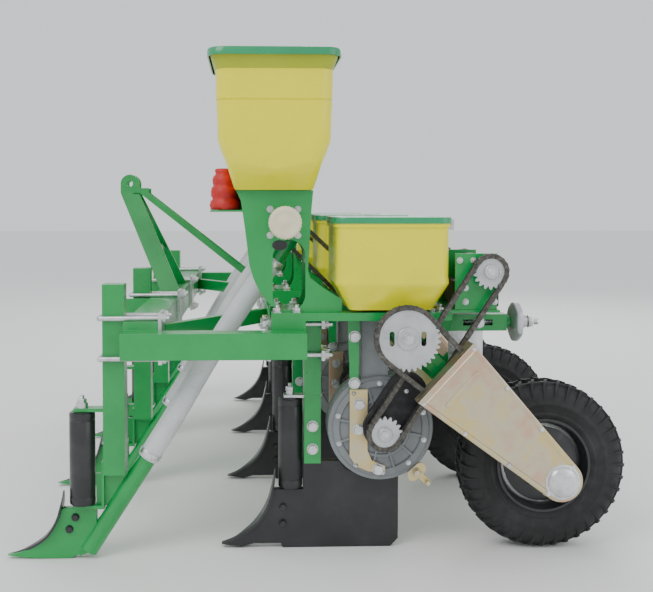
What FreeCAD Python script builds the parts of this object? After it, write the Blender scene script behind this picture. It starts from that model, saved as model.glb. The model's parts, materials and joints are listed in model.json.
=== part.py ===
import FreeCAD, Part
import math
import os
import re
from Sketcher import Constraint

# Four-row spoon-wheel corn planter with fertiliser openers, for a tractor's three-point hitch.
# +X points to the rear (ground wheels), -X to the tractor, +Z up, the ground is Z = 0.
# Every row unit is drawn once about Y = 0 and placed on each row; lengths are millimetres.

ROW_NAMES = ("1", "2", "3", "4")

SIZES = {
    # overall
    "row_pitch": 570, "half_reach": 193, "gap": 0.3, "thin": 4,
    # ground wheel and its swinging arm
    "wheel_x": 536, "wheel_radius": 203, "tyre_width": 100, "rim_radius": 106, "hub_radius": 30,
    "axle_radius": 12.5, "arm_tube": 40, "arm_near": -110, "arm_far": 70, "arm_plate": 8,
    "sleeve_radius": 22, "sleeve_near": -111, "sleeve_far": 90, "pin_ahead": 162.9, "pin_above": 34,
    "pin_radius": 8, "lug_width": 34,
    # chain case on the arm
    "case_start": 111, "case_wide": 95, "case_round": 48, "case_near": -175, "case_back": -129,
    "case_wall": 2, "dome_radius": 40, "standoff_radius": 12,
    # drive shaft and chains
    "shaft_x": 187, "shaft_z": 526, "shaft_radius": 12.5, "chain_pitch": 12.7, "tooth_thick": 7,
    "tooth_height": 3, "plate_inner": 4.2, "plate_outer": 6.2, "chain_half": 5.5,
    "teeth_drive": 35, "teeth_axle": 16, "teeth_small": 18, "teeth_feed": 15,
    "plane_wheel": -150, "plane_meter": -121, "plane_gearbox": 140, "plane_feed": 165,
    # gearbox shaft behind the seed box
    "gearbox_x": 382, "gearbox_z": 675, "gearbox_shaft": 9, "gearbox_near": -88, "gearbox_far": 105,
    "gearbox_left": 320, "gearbox_right": 410, "gearbox_low": 592, "gearbox_high": 647,
    "gearbox_hump": 34, "bearing_plate": 6, "bearing_top": 716,
    # seed meter
    "meter_x": 140, "meter_z": 302, "meter_radius": 125, "meter_near": -60, "meter_far": 20,
    "meter_wall": 6, "meter_shaft": 9, "disc_radius": 105, "disc_thick": 10,
    # fertiliser feeder
    "feed_x": -90, "feed_z": 788, "feed_shaft": 10, "feeder_half": 60, "feeder_reach": 50,
    "feeder_low": 745, "rotor_radius": 30, "knob_radius": 38, "knob_near": -160, "knob_far": -135,
    # main frame
    "beam_front": -460, "beam_width": 80, "beam_low": 480, "front_top": 560, "rear_front": -120,
    "rear_top": 540, "frame_half": 1010, "side_bar": 60, "brace": 40,
    # hitch
    "mast_foot": 150, "mast_x": -560, "mast_z": 900, "mast_width": 60, "clevis_half": 26,
    "clevis_thick": 10, "clevis_bore": 9.75, "clevis_radius": 34, "link_plate_y": 395,
    "link_pin_x": -515, "link_pin_z": 485, "link_pin_radius": 11, "link_pin_end": 530,
    # rails, channel and brackets of a row
    "rail_inner": 55, "rail_outer": 95, "rail_low": 560, "rail_high": 579, "rail_end": 300,
    "channel_depth": 40, "channel_half": 30, "channel_low": 210, "hanger_half": 25,
    "hanger_low": 492, "hanger_near": -126, "hanger_far": 97, "hanger_thick": 11,
    # depth screw
    "tube_low": 526, "tube_side": 40, "tube_end": 449, "tube_wall": 3, "slot_start": 343,
    "slot_end": 420, "slider_x": 381, "slider_half": 14, "screw_radius": 8, "wheel_start": 461,
    "wheel_thick": 26, "handwheel_radius": 48, "screw_end": 531, "slider_travel": 9,
    # fertiliser opener, in front of the front beam and off the row's line
    "opener_shift": -55, "post": 50, "post_low": 200, "post_high": 645, "roller_radius": 30,
    "front_roller_x": -562, "front_roller_low": 127, "front_roller_high": 346, "tip_x": -739,
    "blade_half": 10, "boot_radius": 21, "boot_wall": 3, "boot_top_x": -409, "boot_top_z": 235,
    "boot_slope": 32.7, "boot_length": 258, "spindle_radius": 7,
    # seed opener
    "rear_roller_x": -72, "rear_roller_low": 146, "rear_roller_high": 365, "shoe_half": 12,
    # fertiliser hopper
    "hopper_x": -113.5, "hopper_floor": 862, "hopper_band": 919, "hopper_waist": 974,
    "hopper_rim": 1135, "hopper_top": 1170.7, "hopper_half_x": 132, "hopper_half_y": 158,
    "flare": 12, "wall": 4, "lid_skirt": 3, "lid_low": 1158, "lid_high": 1176, "lid_slack": 3,
    # seed box
    "seed_x": 158.5, "seed_floor": 585, "seed_crease": 649, "seed_top": 795.7, "seed_half_x": 131.5,
    "seed_half_y": 125, "seed_lid_low": 785.5, "seed_lid_high": 801, "seed_hinge_x": 302,
    "seed_hinge_z": 791,
    # hinges
    "barrel_radius": 6.5, "hinge_pin": 3, "seed_barrel": 5,
    # hose
    "hose_radius": 25,
    # fasteners
    "bolt_radius": 6, "nut_radius": 10, "nut_height": 10,
}

doc = FreeCAD.newDocument("planter")
sheet = doc.addObject("Spreadsheet::Sheet", "Sizes")


def fill_sheet():
    """Write every driving size into the sheet, one named cell each."""
    for line, (alias, number) in enumerate(SIZES.items(), start=1):
        sheet.set(f"A{line}", alias)
        sheet.set(f"B{line}", str(number))
        sheet.setAlias(f"B{line}", alias)
    doc.recompute()


def size(alias):
    """One driving size, read back from the sheet."""
    return float(sheet.get(alias))


def sized(text):
    """An expression with each size's name pointed at the sheet."""
    def point(word):
        name = word.group()
        return f"Sizes.{name}" if name in SIZES else name
    return re.sub(r"[a-z_]+", point, str(text))


def bind(piece, field, text):
    piece.setExpression(field, sized(text))


def pitch_radius(teeth):
    return f"chain_pitch / (2 * sin(180 / {teeth}))"


ARM_LENGTH = "hypot(wheel_x - shaft_x; shaft_z - wheel_radius)"


# ---------------------------------------------------------------- shapes

def box(x, y, z, name="block"):
    """A block between two corners, each span a pair of expressions."""
    solid = doc.addObject("Part::Box", name)
    for axis, side, span in (("x", "Length", x), ("y", "Width", y), ("z", "Height", z)):
        bind(solid, side, f"({span[1]}) - ({span[0]})")
        bind(solid, f"Placement.Base.{axis}", span[0])
    return solid


TURN = {"x": FreeCAD.Rotation(FreeCAD.Vector(0, 1, 0), 90),
        "y": FreeCAD.Rotation(FreeCAD.Vector(1, 0, 0), -90),
        "z": FreeCAD.Rotation()}


def rod(axis, centre, radius, span, name="rod"):
    """A round bar along an axis; centre gives the other two coordinates."""
    solid = doc.addObject("Part::Cylinder", name)
    solid.Placement = FreeCAD.Placement(FreeCAD.Vector(), TURN[axis])
    bind(solid, "Radius", radius)
    bind(solid, "Height", f"({span[1]}) - ({span[0]})")
    others = [letter for letter in "xyz" if letter != axis]
    for letter, text in zip(others, centre):
        bind(solid, f"Placement.Base.{letter}", text)
    bind(solid, f"Placement.Base.{axis}", span[0])
    return solid


def cut(base, *tools):
    for tool in tools:
        result = doc.addObject("Part::Cut", "cut")
        result.Base = base
        result.Tool = tool
        base = result
    return base


def join(*pieces):
    result = doc.addObject("Part::MultiFuse", "weld")
    result.Shapes = list(pieces)
    result.Refine = True
    return result


def ring(axis, centre, outer, inner, span):
    return cut(rod(axis, centre, outer, span), rod(axis, centre, inner, span))


def frustum(low, high, bottom, top):
    """A solid between two level rectangles; each is (x0, x1, y0, y1) as expressions."""
    solid = doc.addObject("Part::Wedge", "frustum")
    solid.Placement = FreeCAD.Placement(FreeCAD.Vector(), FreeCAD.Rotation(FreeCAD.Vector(1, 0, 0), 90))
    bind(solid, "Ymax", high)
    bind(solid, "Ymin", low)
    for prefix, face in (("X", "x"), ("Z", "y")):
        for suffix, rectangle in (("", bottom), ("2", top)):
            first, last = (rectangle[0], rectangle[1]) if face == "x" else (
                f"-({rectangle[3]})", f"-({rectangle[2]})")
            bind(solid, f"{prefix}{suffix}max", last)
            bind(solid, f"{prefix}{suffix}min", first)
    return solid


def centred(x, half_x, half_y):
    return (f"{x} - ({half_x})", f"{x} + ({half_x})", f"-({half_y})", half_y)


def plate(outline, span, name="plate"):
    """A flat plate in the X-Z plane, padded between two Y values."""
    body = doc.addObject("PartDesign::Body", name)
    sketch = body.newObject("Sketcher::SketchObject", f"{name}_outline")
    plane = next(item for item in body.Origin.OriginFeatures if item.Role == "XZ_Plane")
    sketch.AttachmentSupport = [(plane, "")]
    sketch.MapMode = "FlatFace"
    count = len(outline)
    numbers = [(worth(x), worth(z)) for x, z in outline]
    for corner in range(count):
        start, end = numbers[corner], numbers[(corner + 1) % count]
        sketch.addGeometry(Part.LineSegment(FreeCAD.Vector(*start, 0), FreeCAD.Vector(*end, 0)), False)
    for corner in range(count):
        following = (corner + 1) % count
        sketch.addConstraint(Constraint("Coincident", corner, 2, following, 1))
    for corner, (x, z) in enumerate(outline):
        for kind, text, number in (("DistanceX", x, numbers[corner][0]),
                                   ("DistanceY", z, numbers[corner][1])):
            index = sketch.addConstraint(Constraint(kind, -1, 1, corner, 1, number))
            sketch.setExpression(f"Constraints[{index}]", sized(text))
    pad = body.newObject("PartDesign::Pad", f"{name}_pad")
    pad.Profile = sketch
    bind(pad, "Length", f"({span[1]}) - ({span[0]})")
    bind(body, "Placement.Base.y", span[1])
    return body


def worth(text):
    """The number an expression gives now."""
    return float(sheet.evalExpression(sized(text)))


def loop_prism(ends, grow, plane, thickness):
    """A belt-shaped prism round two circles (x, z, radius), its face grown and centred on a plane."""
    (ax, az, ar), (bx, bz, br) = ends
    first, second = FreeCAD.Vector(ax, 0, az), FreeCAD.Vector(bx, 0, bz)
    ar, br = ar + grow, br + grow
    along = (second - first).normalize()
    across = FreeCAD.Vector(-along.z, 0, along.x)
    lean = (ar - br) / (second - first).Length
    rise = math.sqrt(1 - lean * lean)
    up, down = along * lean + across * rise, along * lean - across * rise
    edges = [Part.LineSegment(first + up * ar, second + up * br).toShape(),
             Part.Arc(second + up * br, second + along * br, second + down * br).toShape(),
             Part.LineSegment(second + down * br, first + down * ar).toShape(),
             Part.Arc(first + down * ar, first - along * ar, first + up * ar).toShape()]
    face = Part.Face(Part.Wire(edges))
    face.translate(FreeCAD.Vector(0, plane - thickness / 2, 0))
    return face.extrude(FreeCAD.Vector(0, thickness, 0))


def chain_pins(ends, plane):
    """The rollers on the two straight runs, clear of both sprockets' teeth."""
    (ax, az, ar), (bx, bz, br) = ends
    first, second = FreeCAD.Vector(ax, plane, az), FreeCAD.Vector(bx, plane, bz)
    along = (second - first).normalize()
    across = FreeCAD.Vector(-along.z, 0, along.x)
    length = (second - first).Length
    lean = (ar - br) / length
    pitch, half = 2 * size("chain_pitch"), size("plate_outer")
    clear = 3 * size("chain_pitch")
    pins = []
    for side in (1, -1):
        normal = along * lean + across * side * math.sqrt(1 - lean * lean)
        start, end = first + normal * ar, second + normal * br
        run = end - start
        for step in range(int((run.Length - 2 * clear) / pitch) + 1):
            place = start + run * ((clear + step * pitch) / run.Length)
            pins.append(Part.makeCylinder(3.5, 2 * half, place - FreeCAD.Vector(0, half, 0),
                                          FreeCAD.Vector(0, 1, 0)))
    return pins


def chain(ends, plane):
    """A roller chain as two side loops either side of the sprocket teeth, joined by its rollers."""
    ends = [tuple(worth(text) for text in end) for end in ends]
    plane = worth(plane)
    half, inner, outer = size("chain_half"), size("plate_inner"), size("plate_outer")
    loops = []
    for side in (-1, 1):
        middle = plane + side * (inner + outer) / 2
        loops.append(loop_prism(ends, half, middle, outer - inner)
                     .cut(loop_prism(ends, -half, middle, outer - inner)))
    piece = doc.addObject("Part::Feature", "chain")
    piece.Shape = loops[0].fuse(loops[1:] + chain_pins(ends, plane))
    return piece


def sprocket(centre, teeth, plane, bore):
    """A toothed disc and its hub, as a ring round its shaft."""
    disc = rod("y", centre, f"{pitch_radius(teeth)} + tooth_height",
               (f"{plane} - tooth_thick / 2", f"{plane} + tooth_thick / 2"))
    hub = rod("y", centre, f"{bore} + 8", (f"{plane} - 9", f"{plane} + 9"))
    hole = rod("y", centre, bore, (f"{plane} - 10", f"{plane} + 10"))
    return cut(join(disc, hub), hole)


def hose_tube(points, radius):
    """A hose along straight runs joined by tangent arcs; returns the solid and its centre length."""
    points = [FreeCAD.Vector(*point) for point in points]
    edges, here, radii = [], points[0], []
    for before, corner, after in zip(points, points[1:], points[2:]):
        toward, away = (corner - before), (after - corner)
        turn = toward.getAngle(away)
        cut_back = 0.45 * min(toward.Length, away.Length)
        radii.append(cut_back / math.tan(turn / 2))
        toward.normalize()
        away.normalize()
        start, end = corner - toward * cut_back, corner + away * cut_back
        bulge = (away - toward).normalize()
        depth = radii[-1] / math.cos(turn / 2) - radii[-1]
        edges.append(Part.LineSegment(here, start).toShape())
        edges.append(Part.Arc(start, corner + bulge * depth, end).toShape())
        here = end
    edges.append(Part.LineSegment(here, points[-1]).toShape())
    path = Part.Wire(edges)
    ring_wire = Part.Wire(Part.makeCircle(radius, points[0], points[1] - points[0]))
    solid = path.makePipeShell([ring_wire], True, True)
    print("hose: length %.1f, bends %s, volume ratio %.4f" % (
        path.Length, [round(value) for value in radii],
        solid.Volume / (math.pi * radius ** 2 * path.Length)))
    return solid


# ---------------------------------------------------------------- placing

NODES = []


def node(label, pieces, place=("0", "0", "0"), drop=None):
    """A sub-part of its own: its pieces, moved to their place; drop turns it down about Y."""
    group = doc.addObject("Part::Compound", label)
    group.Label = label
    group.Links = list(pieces)
    if drop:
        group.Placement = FreeCAD.Placement(FreeCAD.Vector(), FreeCAD.Rotation(FreeCAD.Vector(0, 1, 0), 1))
        bind(group, "Placement.Rotation.Angle", drop)
    for axis, text in zip("xyz", place):
        bind(group, f"Placement.Base.{axis}", text)
    NODES.append(group)
    return group


def row_y(index):
    return f"({index} - 1.5) * row_pitch"


def node_per_row(label, pieces, place=("0", "0", "0"), drop=None):
    for index, name in enumerate(ROW_NAMES):
        node(f"{label}_{name}", pieces, (place[0], f"{row_y(index)} + {place[1]}", place[2]), drop)


def node_of_rows(label, pieces, extra=()):
    """One static node that holds the same pieces on every row, and pieces of its own."""
    rows = []
    for index, name in enumerate(ROW_NAMES):
        group = doc.addObject("Part::Compound", f"{label}_row_{name}")
        group.Links = list(pieces)
        bind(group, "Placement.Base.y", row_y(index))
        rows.append(group)
    node(label, rows + list(extra))


# ---------------------------------------------------------------- moving sub-parts

def wheel():
    """Tyre, rim with its web and hub on the driving axle, and the axle sprocket."""
    here = ("0", "0")
    half = "tyre_width / 2"
    tyre = doc.addObject("Part::Fillet", "tyre")
    tyre.Base = ring("y", here, "wheel_radius", "rim_radius", (f"-{half}", half))
    doc.recompute()
    rims = [number for number, edge in enumerate(tyre.Base.Shape.Edges, start=1)
            if edge.isClosed() and edge.BoundBox.XMax > size("wheel_radius") - 1]
    tyre.Edges = [(number, 18, 18) for number in rims]
    rim = join(ring("y", here, "rim_radius", "rim_radius - 5", (f"-{half} + 8", f"{half} - 8")),
               ring("y", here, "rim_radius - 4", "hub_radius", ("-20", "-15")),
               rod("y", here, "hub_radius", ("arm_near + arm_tube + 4", "arm_far - 4")),
               rod("y", here, "axle_radius", ("case_near + 5", "arm_far + arm_plate + 12")))
    node_per_row("wheel", [tyre, rim, sprocket(here, "teeth_axle", "plane_wheel", "axle_radius")],
                 ("wheel_x", "0", "wheel_radius"))


def chain_case():
    """A tapered guard round the wheel chain, open at its wide end, with a dome at the axle."""
    start, wide, small, wall = "case_start", "case_wide", "case_round", "case_wall"
    end = (ARM_LENGTH, "0")
    outer = join(plate([(start, wide), (start, f"-{wide}"), (ARM_LENGTH, f"-{small}"), (ARM_LENGTH, small)],
                       ("case_near", "case_back"), "case_side"),
                 rod("y", end, small, ("case_near", "case_back")))
    inside = ("case_near + case_wall", "case_back - case_wall")
    hollow = join(plate([(f"{start} - 1", f"{wide} - {wall}"), (f"{start} - 1", f"{wall} - {wide}"),
                         (ARM_LENGTH, f"{wall} - {small}"), (ARM_LENGTH, f"{small} - {wall}")],
                        inside, "case_room"),
                  rod("y", end, f"{small} - {wall}", inside))
    hole = rod("y", end, "axle_radius + 2", ("case_back - 5", "case_back + 1"))
    dome = rod("y", end, "dome_radius", ("-half_reach", "case_near"))
    return [cut(outer, hollow, hole), dome]


def wheel_arm():
    """The swinging arm: sleeve, square tube, far plate, bridge pin, chain case and wheel chain."""
    tube_far = "arm_near + arm_tube"
    half = "arm_tube / 2"
    end = (ARM_LENGTH, "0")
    sleeve = rod("y", ("0", "0"), "sleeve_radius", ("sleeve_near", "sleeve_far"))
    tube = box(("0", ARM_LENGTH), ("arm_near", tube_far), (f"-{half}", half))
    boss = rod("y", end, "sleeve_radius + 6", ("arm_near", tube_far))
    strap = box(("0", ARM_LENGTH), ("arm_far", "arm_far + arm_plate"), ("-30", "30"))
    strap_end = rod("y", end, "30", ("arm_far", "arm_far + arm_plate"))
    lug = ("pin_ahead - lug_width / 2", "pin_ahead + lug_width / 2")
    near_lug = box(lug, (f"{tube_far} - 8", tube_far), ("0", "pin_above + 12"))
    far_lug = box(lug, ("arm_far", "arm_far + arm_plate"), ("0", "pin_above + 12"))
    pin = rod("y", ("pin_ahead", "pin_above"), "pin_radius", (f"{tube_far} - 8", "arm_far + arm_plate"))
    bore = rod("y", ("0", "0"), "shaft_radius + gap / 3", ("sleeve_near - 1", "sleeve_far + 1"))
    axle_hole = rod("y", end, "axle_radius + gap / 3", ("arm_near - 1", "arm_far + arm_plate + 1"))
    frame = cut(join(sleeve, tube, boss, strap, strap_end, near_lug, far_lug, pin), bore, axle_hole)
    standoffs = [rod("y", (place, "0"), "standoff_radius", ("case_back", "arm_near"))
                 for place in ("case_start + 90", f"{ARM_LENGTH} - 55")]
    links = chain([("0", "0", pitch_radius("teeth_drive")), (*end, pitch_radius("teeth_axle"))],
                  "plane_wheel")
    node_per_row("wheel_arm", [frame, *chain_case(), *standoffs, links], ("shaft_x", "0", "shaft_z"),
                 "atan((shaft_z - wheel_radius) / (wheel_x - shaft_x))")


def drive_shaft():
    """The row's main cross shaft with the large wheel-chain sprocket and the two far sprockets."""
    here = ("0", "0")
    shaft = rod("y", here, "shaft_radius", ("plane_wheel - 14", "plane_feed + 14"))
    wheels = [sprocket(here, teeth, plane, "shaft_radius")
              for teeth, plane in (("teeth_drive", "plane_wheel"), ("teeth_small", "plane_gearbox"),
                                   ("teeth_small", "plane_feed"))]
    node_per_row("drive_shaft", [shaft, *wheels], ("shaft_x", "0", "shaft_z"))


def gearbox_shaft():
    here = ("0", "0")
    shaft = rod("y", here, "gearbox_shaft", ("plane_meter - 14", "plane_gearbox + 14"))
    wheels = [sprocket(here, "teeth_small", plane, "gearbox_shaft")
              for plane in ("plane_meter", "plane_gearbox")]
    node_per_row("gearbox_shaft", [shaft, *wheels], ("gearbox_x", "0", "gearbox_z"))


def meter_rotor():
    """The seed disc on its shaft, with the driven sprocket outside the housing."""
    here = ("0", "0")
    middle = "(meter_near + meter_far) / 2"
    shaft = rod("y", here, "meter_shaft", ("plane_meter - 12", "meter_far + 8"))
    disc = ring("y", here, "disc_radius", "meter_shaft",
                (f"{middle} - disc_thick / 2", f"{middle} + disc_thick / 2"))
    node_per_row("meter_rotor", [shaft, disc, sprocket(here, "teeth_small", "plane_meter", "meter_shaft")],
                 ("meter_x", "0", "meter_z"))


def feed_shaft():
    """The fertiliser feeder's shaft with its fluted roller, hand knob and sprocket."""
    here = ("0", "0")
    shaft = rod("y", here, "feed_shaft", ("knob_near + 6", "plane_feed + 14"))
    roller = ring("y", here, "rotor_radius", "feed_shaft", ("10 - feeder_half", "feeder_half - 10"))
    knob = cut(rod("y", here, "knob_radius", ("knob_near", "knob_far")),
               rod("y", here, "feed_shaft", ("knob_near + 6", "knob_far")))
    node_per_row("feed_shaft", [shaft, roller, knob,
                                sprocket(here, "teeth_feed", "plane_feed", "feed_shaft")],
                 ("feed_x", "0", "feed_z"))


DEPTH_Z = "tube_low + tube_side / 2"


def depth_screw():
    """The depth handwheel with its screw, and the slider whose slotted link holds the arm's pin."""
    wheel_end = "wheel_start + wheel_thick"
    hand = join(rod("x", ("0", DEPTH_Z), "screw_radius", ("rail_end + 20", "screw_end")),
                rod("x", ("0", DEPTH_Z), "handwheel_radius", ("wheel_start", wheel_end)))
    node_per_row("depth_handwheel", [hand])
    inner = "tube_side / 2 - tube_wall - gap"
    pin_x, pin_z = pin_place()
    block = box(("slider_x - slider_half", "slider_x + slider_half"), (f"-({inner})", inner),
                (f"{DEPTH_Z} - ({inner})", f"{DEPTH_Z} + ({inner})"))
    link = box((f"{pin_x} - 18", "slider_x + slider_half"), ("-3", "3"),
               (f"{pin_z} - 36", f"{DEPTH_Z} - ({inner})"))
    screw_hole = rod("x", ("0", DEPTH_Z), "screw_radius + gap / 3", ("slider_x - 50", "slider_x + 50"))
    slot = box((f"{pin_x} - pin_radius - 1.5", f"{pin_x} + pin_radius + 1.5"), ("-4", "4"),
               (f"{pin_z} - 25", f"{pin_z} + 26"))
    node_per_row("depth_slider", [cut(join(block, link), screw_hole, slot)])


def pin_place():
    """Where the arm's bridge pin lies at rest, in X and Z."""
    run, fall = "(wheel_x - shaft_x)", "(shaft_z - wheel_radius)"
    return (f"(shaft_x + (pin_ahead * {run} + pin_above * {fall}) / {ARM_LENGTH})",
            f"(shaft_z - (pin_ahead * {fall} - pin_above * {run}) / {ARM_LENGTH})")


def straw_rollers():
    """The two upright rollers that shed straw, one before each opener."""
    front = ("front_roller_x", "opener_shift")
    node_per_row("front_roller", [ring("z", front, "roller_radius", "spindle_radius + gap / 3",
                                       ("front_roller_low", "front_roller_high"))])
    node_per_row("rear_roller", [ring("z", ("rear_roller_x", "0"), "roller_radius - 1",
                                      "spindle_radius + gap / 3",
                                      ("rear_roller_low", "rear_roller_high"))])


HINGE_Y = "half_reach - barrel_radius"


def hopper_lid():
    """The fertiliser hopper's lid: a shallow skirted cap with two hinge barrels on its far side."""
    reach_x = "hopper_half_x + flare + lid_slack + lid_skirt"
    reach_y = "hopper_half_y + flare + lid_slack + lid_skirt"
    shell = cut(box((f"hopper_x - ({reach_x})", f"hopper_x + {reach_x}"), (f"-({reach_y})", reach_y),
                    ("lid_low", "lid_high")),
                box((f"hopper_x - ({reach_x}) + lid_skirt", f"hopper_x + {reach_x} - lid_skirt"),
                    (f"lid_skirt - ({reach_y})", f"{reach_y} - lid_skirt"),
                    ("lid_low", "hopper_top + gap / 3")))
    barrels = []
    for start in ("hopper_x - 84", "hopper_x + 54"):
        span = (start, f"{start} + 30")
        tab = box(span, (reach_y, HINGE_Y), ("lid_low", "lid_low + 6"))
        barrel = rod("x", (HINGE_Y, "lid_low + 7"), "barrel_radius", span)
        barrels += [tab, barrel]
    pin = rod("x", (HINGE_Y, "lid_low + 7"), "hinge_pin + gap / 3", ("hopper_x - 100", "hopper_x + 100"))
    node_per_row("hopper_lid", [cut(join(shell, *barrels), pin)])


def seed_lid():
    """The seed box's lid, hinged along its rear edge."""
    left, right = "seed_x - seed_half_x - 5", "seed_x + seed_half_x + 5"
    reach_y = "seed_half_y + 5"
    shell = cut(box((left, right), (f"-({reach_y})", reach_y), ("seed_lid_low", "seed_lid_high")),
                box((f"{left} + 2.5", f"{right} - 2.5"), (f"2.5 - ({reach_y})", f"{reach_y} - 2.5"),
                    ("seed_lid_low", "seed_top + gap / 3")))
    barrels = []
    for start in ("-70", "40"):
        span = (start, f"{start} + 30")
        barrels.append(rod("y", ("seed_hinge_x", "seed_hinge_z"), "seed_barrel", span))
        barrels.append(box((right, "seed_hinge_x"), span, ("seed_hinge_z - 4", "seed_hinge_z + 4")))
    pin = rod("y", ("seed_hinge_x", "seed_hinge_z"), "2.5 + gap / 3", ("-80", "80"))
    node_per_row("seed_lid", [cut(join(shell, *barrels), pin)])


# ---------------------------------------------------------------- fixed sub-parts

BEAM_END = "beam_front + beam_width"
REAR_END = "rear_front + beam_width"


def main_frame():
    """Two cross beams, two side bars and two slanting braces, welded into one frame."""
    side = ("frame_half - side_bar", "frame_half")
    front = box(("beam_front", BEAM_END), ("side_bar - frame_half", "frame_half - side_bar"),
                ("beam_low", "front_top"))
    rear = box(("rear_front", REAR_END), ("side_bar - frame_half", "frame_half - side_bar"),
               ("beam_low", "rear_top"))
    bars = [box(("beam_front", REAR_END), span, ("beam_low", "beam_low + side_bar"))
            for span in (side, (f"-({side[1]})", f"-({side[0]})"))]
    braces = []
    for sign in (1, -1):
        solid = doc.addObject("Part::Wedge", "brace")
        solid.Placement = FreeCAD.Placement(FreeCAD.Vector(), FreeCAD.Rotation(FreeCAD.Vector(0, 0, 1), -90))
        starts = [f"{sign} * 740", f"{sign} * 380"]
        for field, text in (("Ymax", "rear_front"), ("Ymin", BEAM_END),
                            ("Xmax", f"brace / 2 - ({starts[0]})"), ("Xmin", f"-brace / 2 - ({starts[0]})"),
                            ("X2max", f"brace / 2 - ({starts[1]})"), ("X2min", f"-brace / 2 - ({starts[1]})"),
                            ("Zmax", "beam_low + 10 + brace"), ("Zmin", "beam_low + 10"),
                            ("Z2max", "beam_low + 10 + brace"), ("Z2min", "beam_low + 10")):
            bind(solid, field, text)
        braces.append(solid)
    node("main_frame", [join(front, rear, *bars, *braces)])


def hitch_mast():
    """The tractor hitch: a leaning A-frame with its clevis, rear stays and two lower link pins."""
    pieces = []
    half = "mast_width / 2"
    inner, outer = "clevis_half", "clevis_half + clevis_thick"
    for sign in (1, -1):
        def side(low, high, sign=sign):
            return (low, high) if sign > 0 else (f"-({high})", f"-({low})")
        foot = side("mast_foot - 8", "mast_foot + 8")
        head = side(inner, outer)
        leg = frustum("front_top", "mast_z - 30",
                      (f"beam_front + beam_width / 2 - {half}", f"beam_front + beam_width / 2 + {half}", *foot),
                      (f"mast_x - {half}", f"mast_x + {half}", *head))
        cheek = cut(join(box((f"mast_x - {half}", f"mast_x + {half}"), head, ("mast_z - 30", "mast_z")),
                         rod("y", ("mast_x", "mast_z"), "clevis_radius - 4", head)),
                    rod("y", ("mast_x", "mast_z"), "clevis_bore", head))
        stay = frustum("rear_top", "mast_z - 30",
                       ("rear_front + 10", "rear_front + 40", *side("60", "66")),
                       (f"mast_x + {half} + 2", f"mast_x + {half} + 32", *side(outer, f"{outer} + 6")))
        tie = box((f"mast_x + {half} - 20", f"mast_x + {half} + 32"), side(outer, f"{outer} + 6"),
                  ("mast_z - 30", "mast_z - 14"))
        ear = box(("link_pin_x - 34", "beam_front"), side("link_plate_y", "link_plate_y + 10"),
                  ("beam_low - 30", "front_top"))
        pin = rod("y", ("link_pin_x", "link_pin_z"), "link_pin_radius",
                  side("link_plate_y + 10", "link_pin_end"))
        pieces += [join(leg, cheek), join(stay, tie), ear, pin]
    rungs = []
    for drop in (60, 200):
        low, high = mast_gap(drop + 16), mast_gap(drop)
        rungs.append(frustum(f"mast_z - {drop + 16}", f"mast_z - {drop}", low, high))
    node("hitch_mast", pieces + rungs)


def mast_gap(drop):
    """The level rectangle between the two legs, a given drop below the top pin."""
    share = f"({drop} - 30) / (mast_z - 30 - front_top)"
    middle = f"(mast_x + {share} * (beam_front + beam_width / 2 - mast_x))"
    reach = f"(clevis_half + {share} * (mast_foot - 8 - clevis_half))"
    return (f"{middle} - 20", f"{middle} + 20", f"-{reach}", reach)


def boot_axis(length, radius, start="0"):
    """A bar down the fertiliser boot's slanting axis from its top end."""
    solid = doc.addObject("Part::Cylinder", "boot_bar")
    solid.Placement = FreeCAD.Placement(FreeCAD.Vector(), FreeCAD.Rotation(FreeCAD.Vector(0, 1, 0), 1))
    bind(solid, "Radius", radius)
    bind(solid, "Height", length)
    bind(solid, "Placement.Rotation.Angle", "180 + boot_slope")
    bind(solid, "Placement.Base.x", f"boot_top_x - ({start}) * sin(boot_slope)")
    bind(solid, "Placement.Base.y", "opener_shift")
    bind(solid, "Placement.Base.z", f"boot_top_z - ({start}) * cos(boot_slope)")
    return solid


POST_FRONT = "beam_front - post"


def shifted(half):
    return (f"opener_shift - ({half})", f"opener_shift + {half}")


def fertilizer_openers():
    """The curved knife blade and the slanting boot tube of each fertiliser opener."""
    tip = "tip_x"
    blade = plate([(tip, "0"), (f"{tip} + 4", "6"), (f"{tip} + 42", "14"), (f"{tip} + 93", "58"),
                   (f"{tip} + 115", "86"), (f"{tip} + 129", "front_roller_low - 9"),
                   (f"{POST_FRONT} - 20", "front_roller_low - 9"), (f"{POST_FRONT} - 20", "20"),
                   (f"{POST_FRONT} - 60", "6"), (f"{tip} + 90", "0")], shifted("blade_half"), "blade")
    tube = cut(boot_axis("boot_length", "boot_radius"), boot_axis("boot_length", "boot_radius - boot_wall"))
    node_of_rows("fertilizer_openers", [cut(blade, boot_axis("boot_length", "boot_radius")), tube])


def seed_openers():
    """The seed opener: a curved shoe under the meter with its shank up to the channel."""
    low = "channel_low"
    shoe = plate([("-239", "4"), ("-236", "14"), ("-157", "60"), ("-129", "92"), ("-111", "141"),
                  ("-channel_depth", "141"), ("-channel_depth", low), ("45", low), ("62", "190"),
                  ("90", "178"), ("meter_x", "172"), ("170", "176"), ("188", "182"), ("188", "20"),
                  ("170", "0"), ("-64", "0"), ("-150", "3")], ("-shoe_half", "shoe_half"), "shoe")
    node_of_rows("seed_openers", [shoe])


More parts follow.
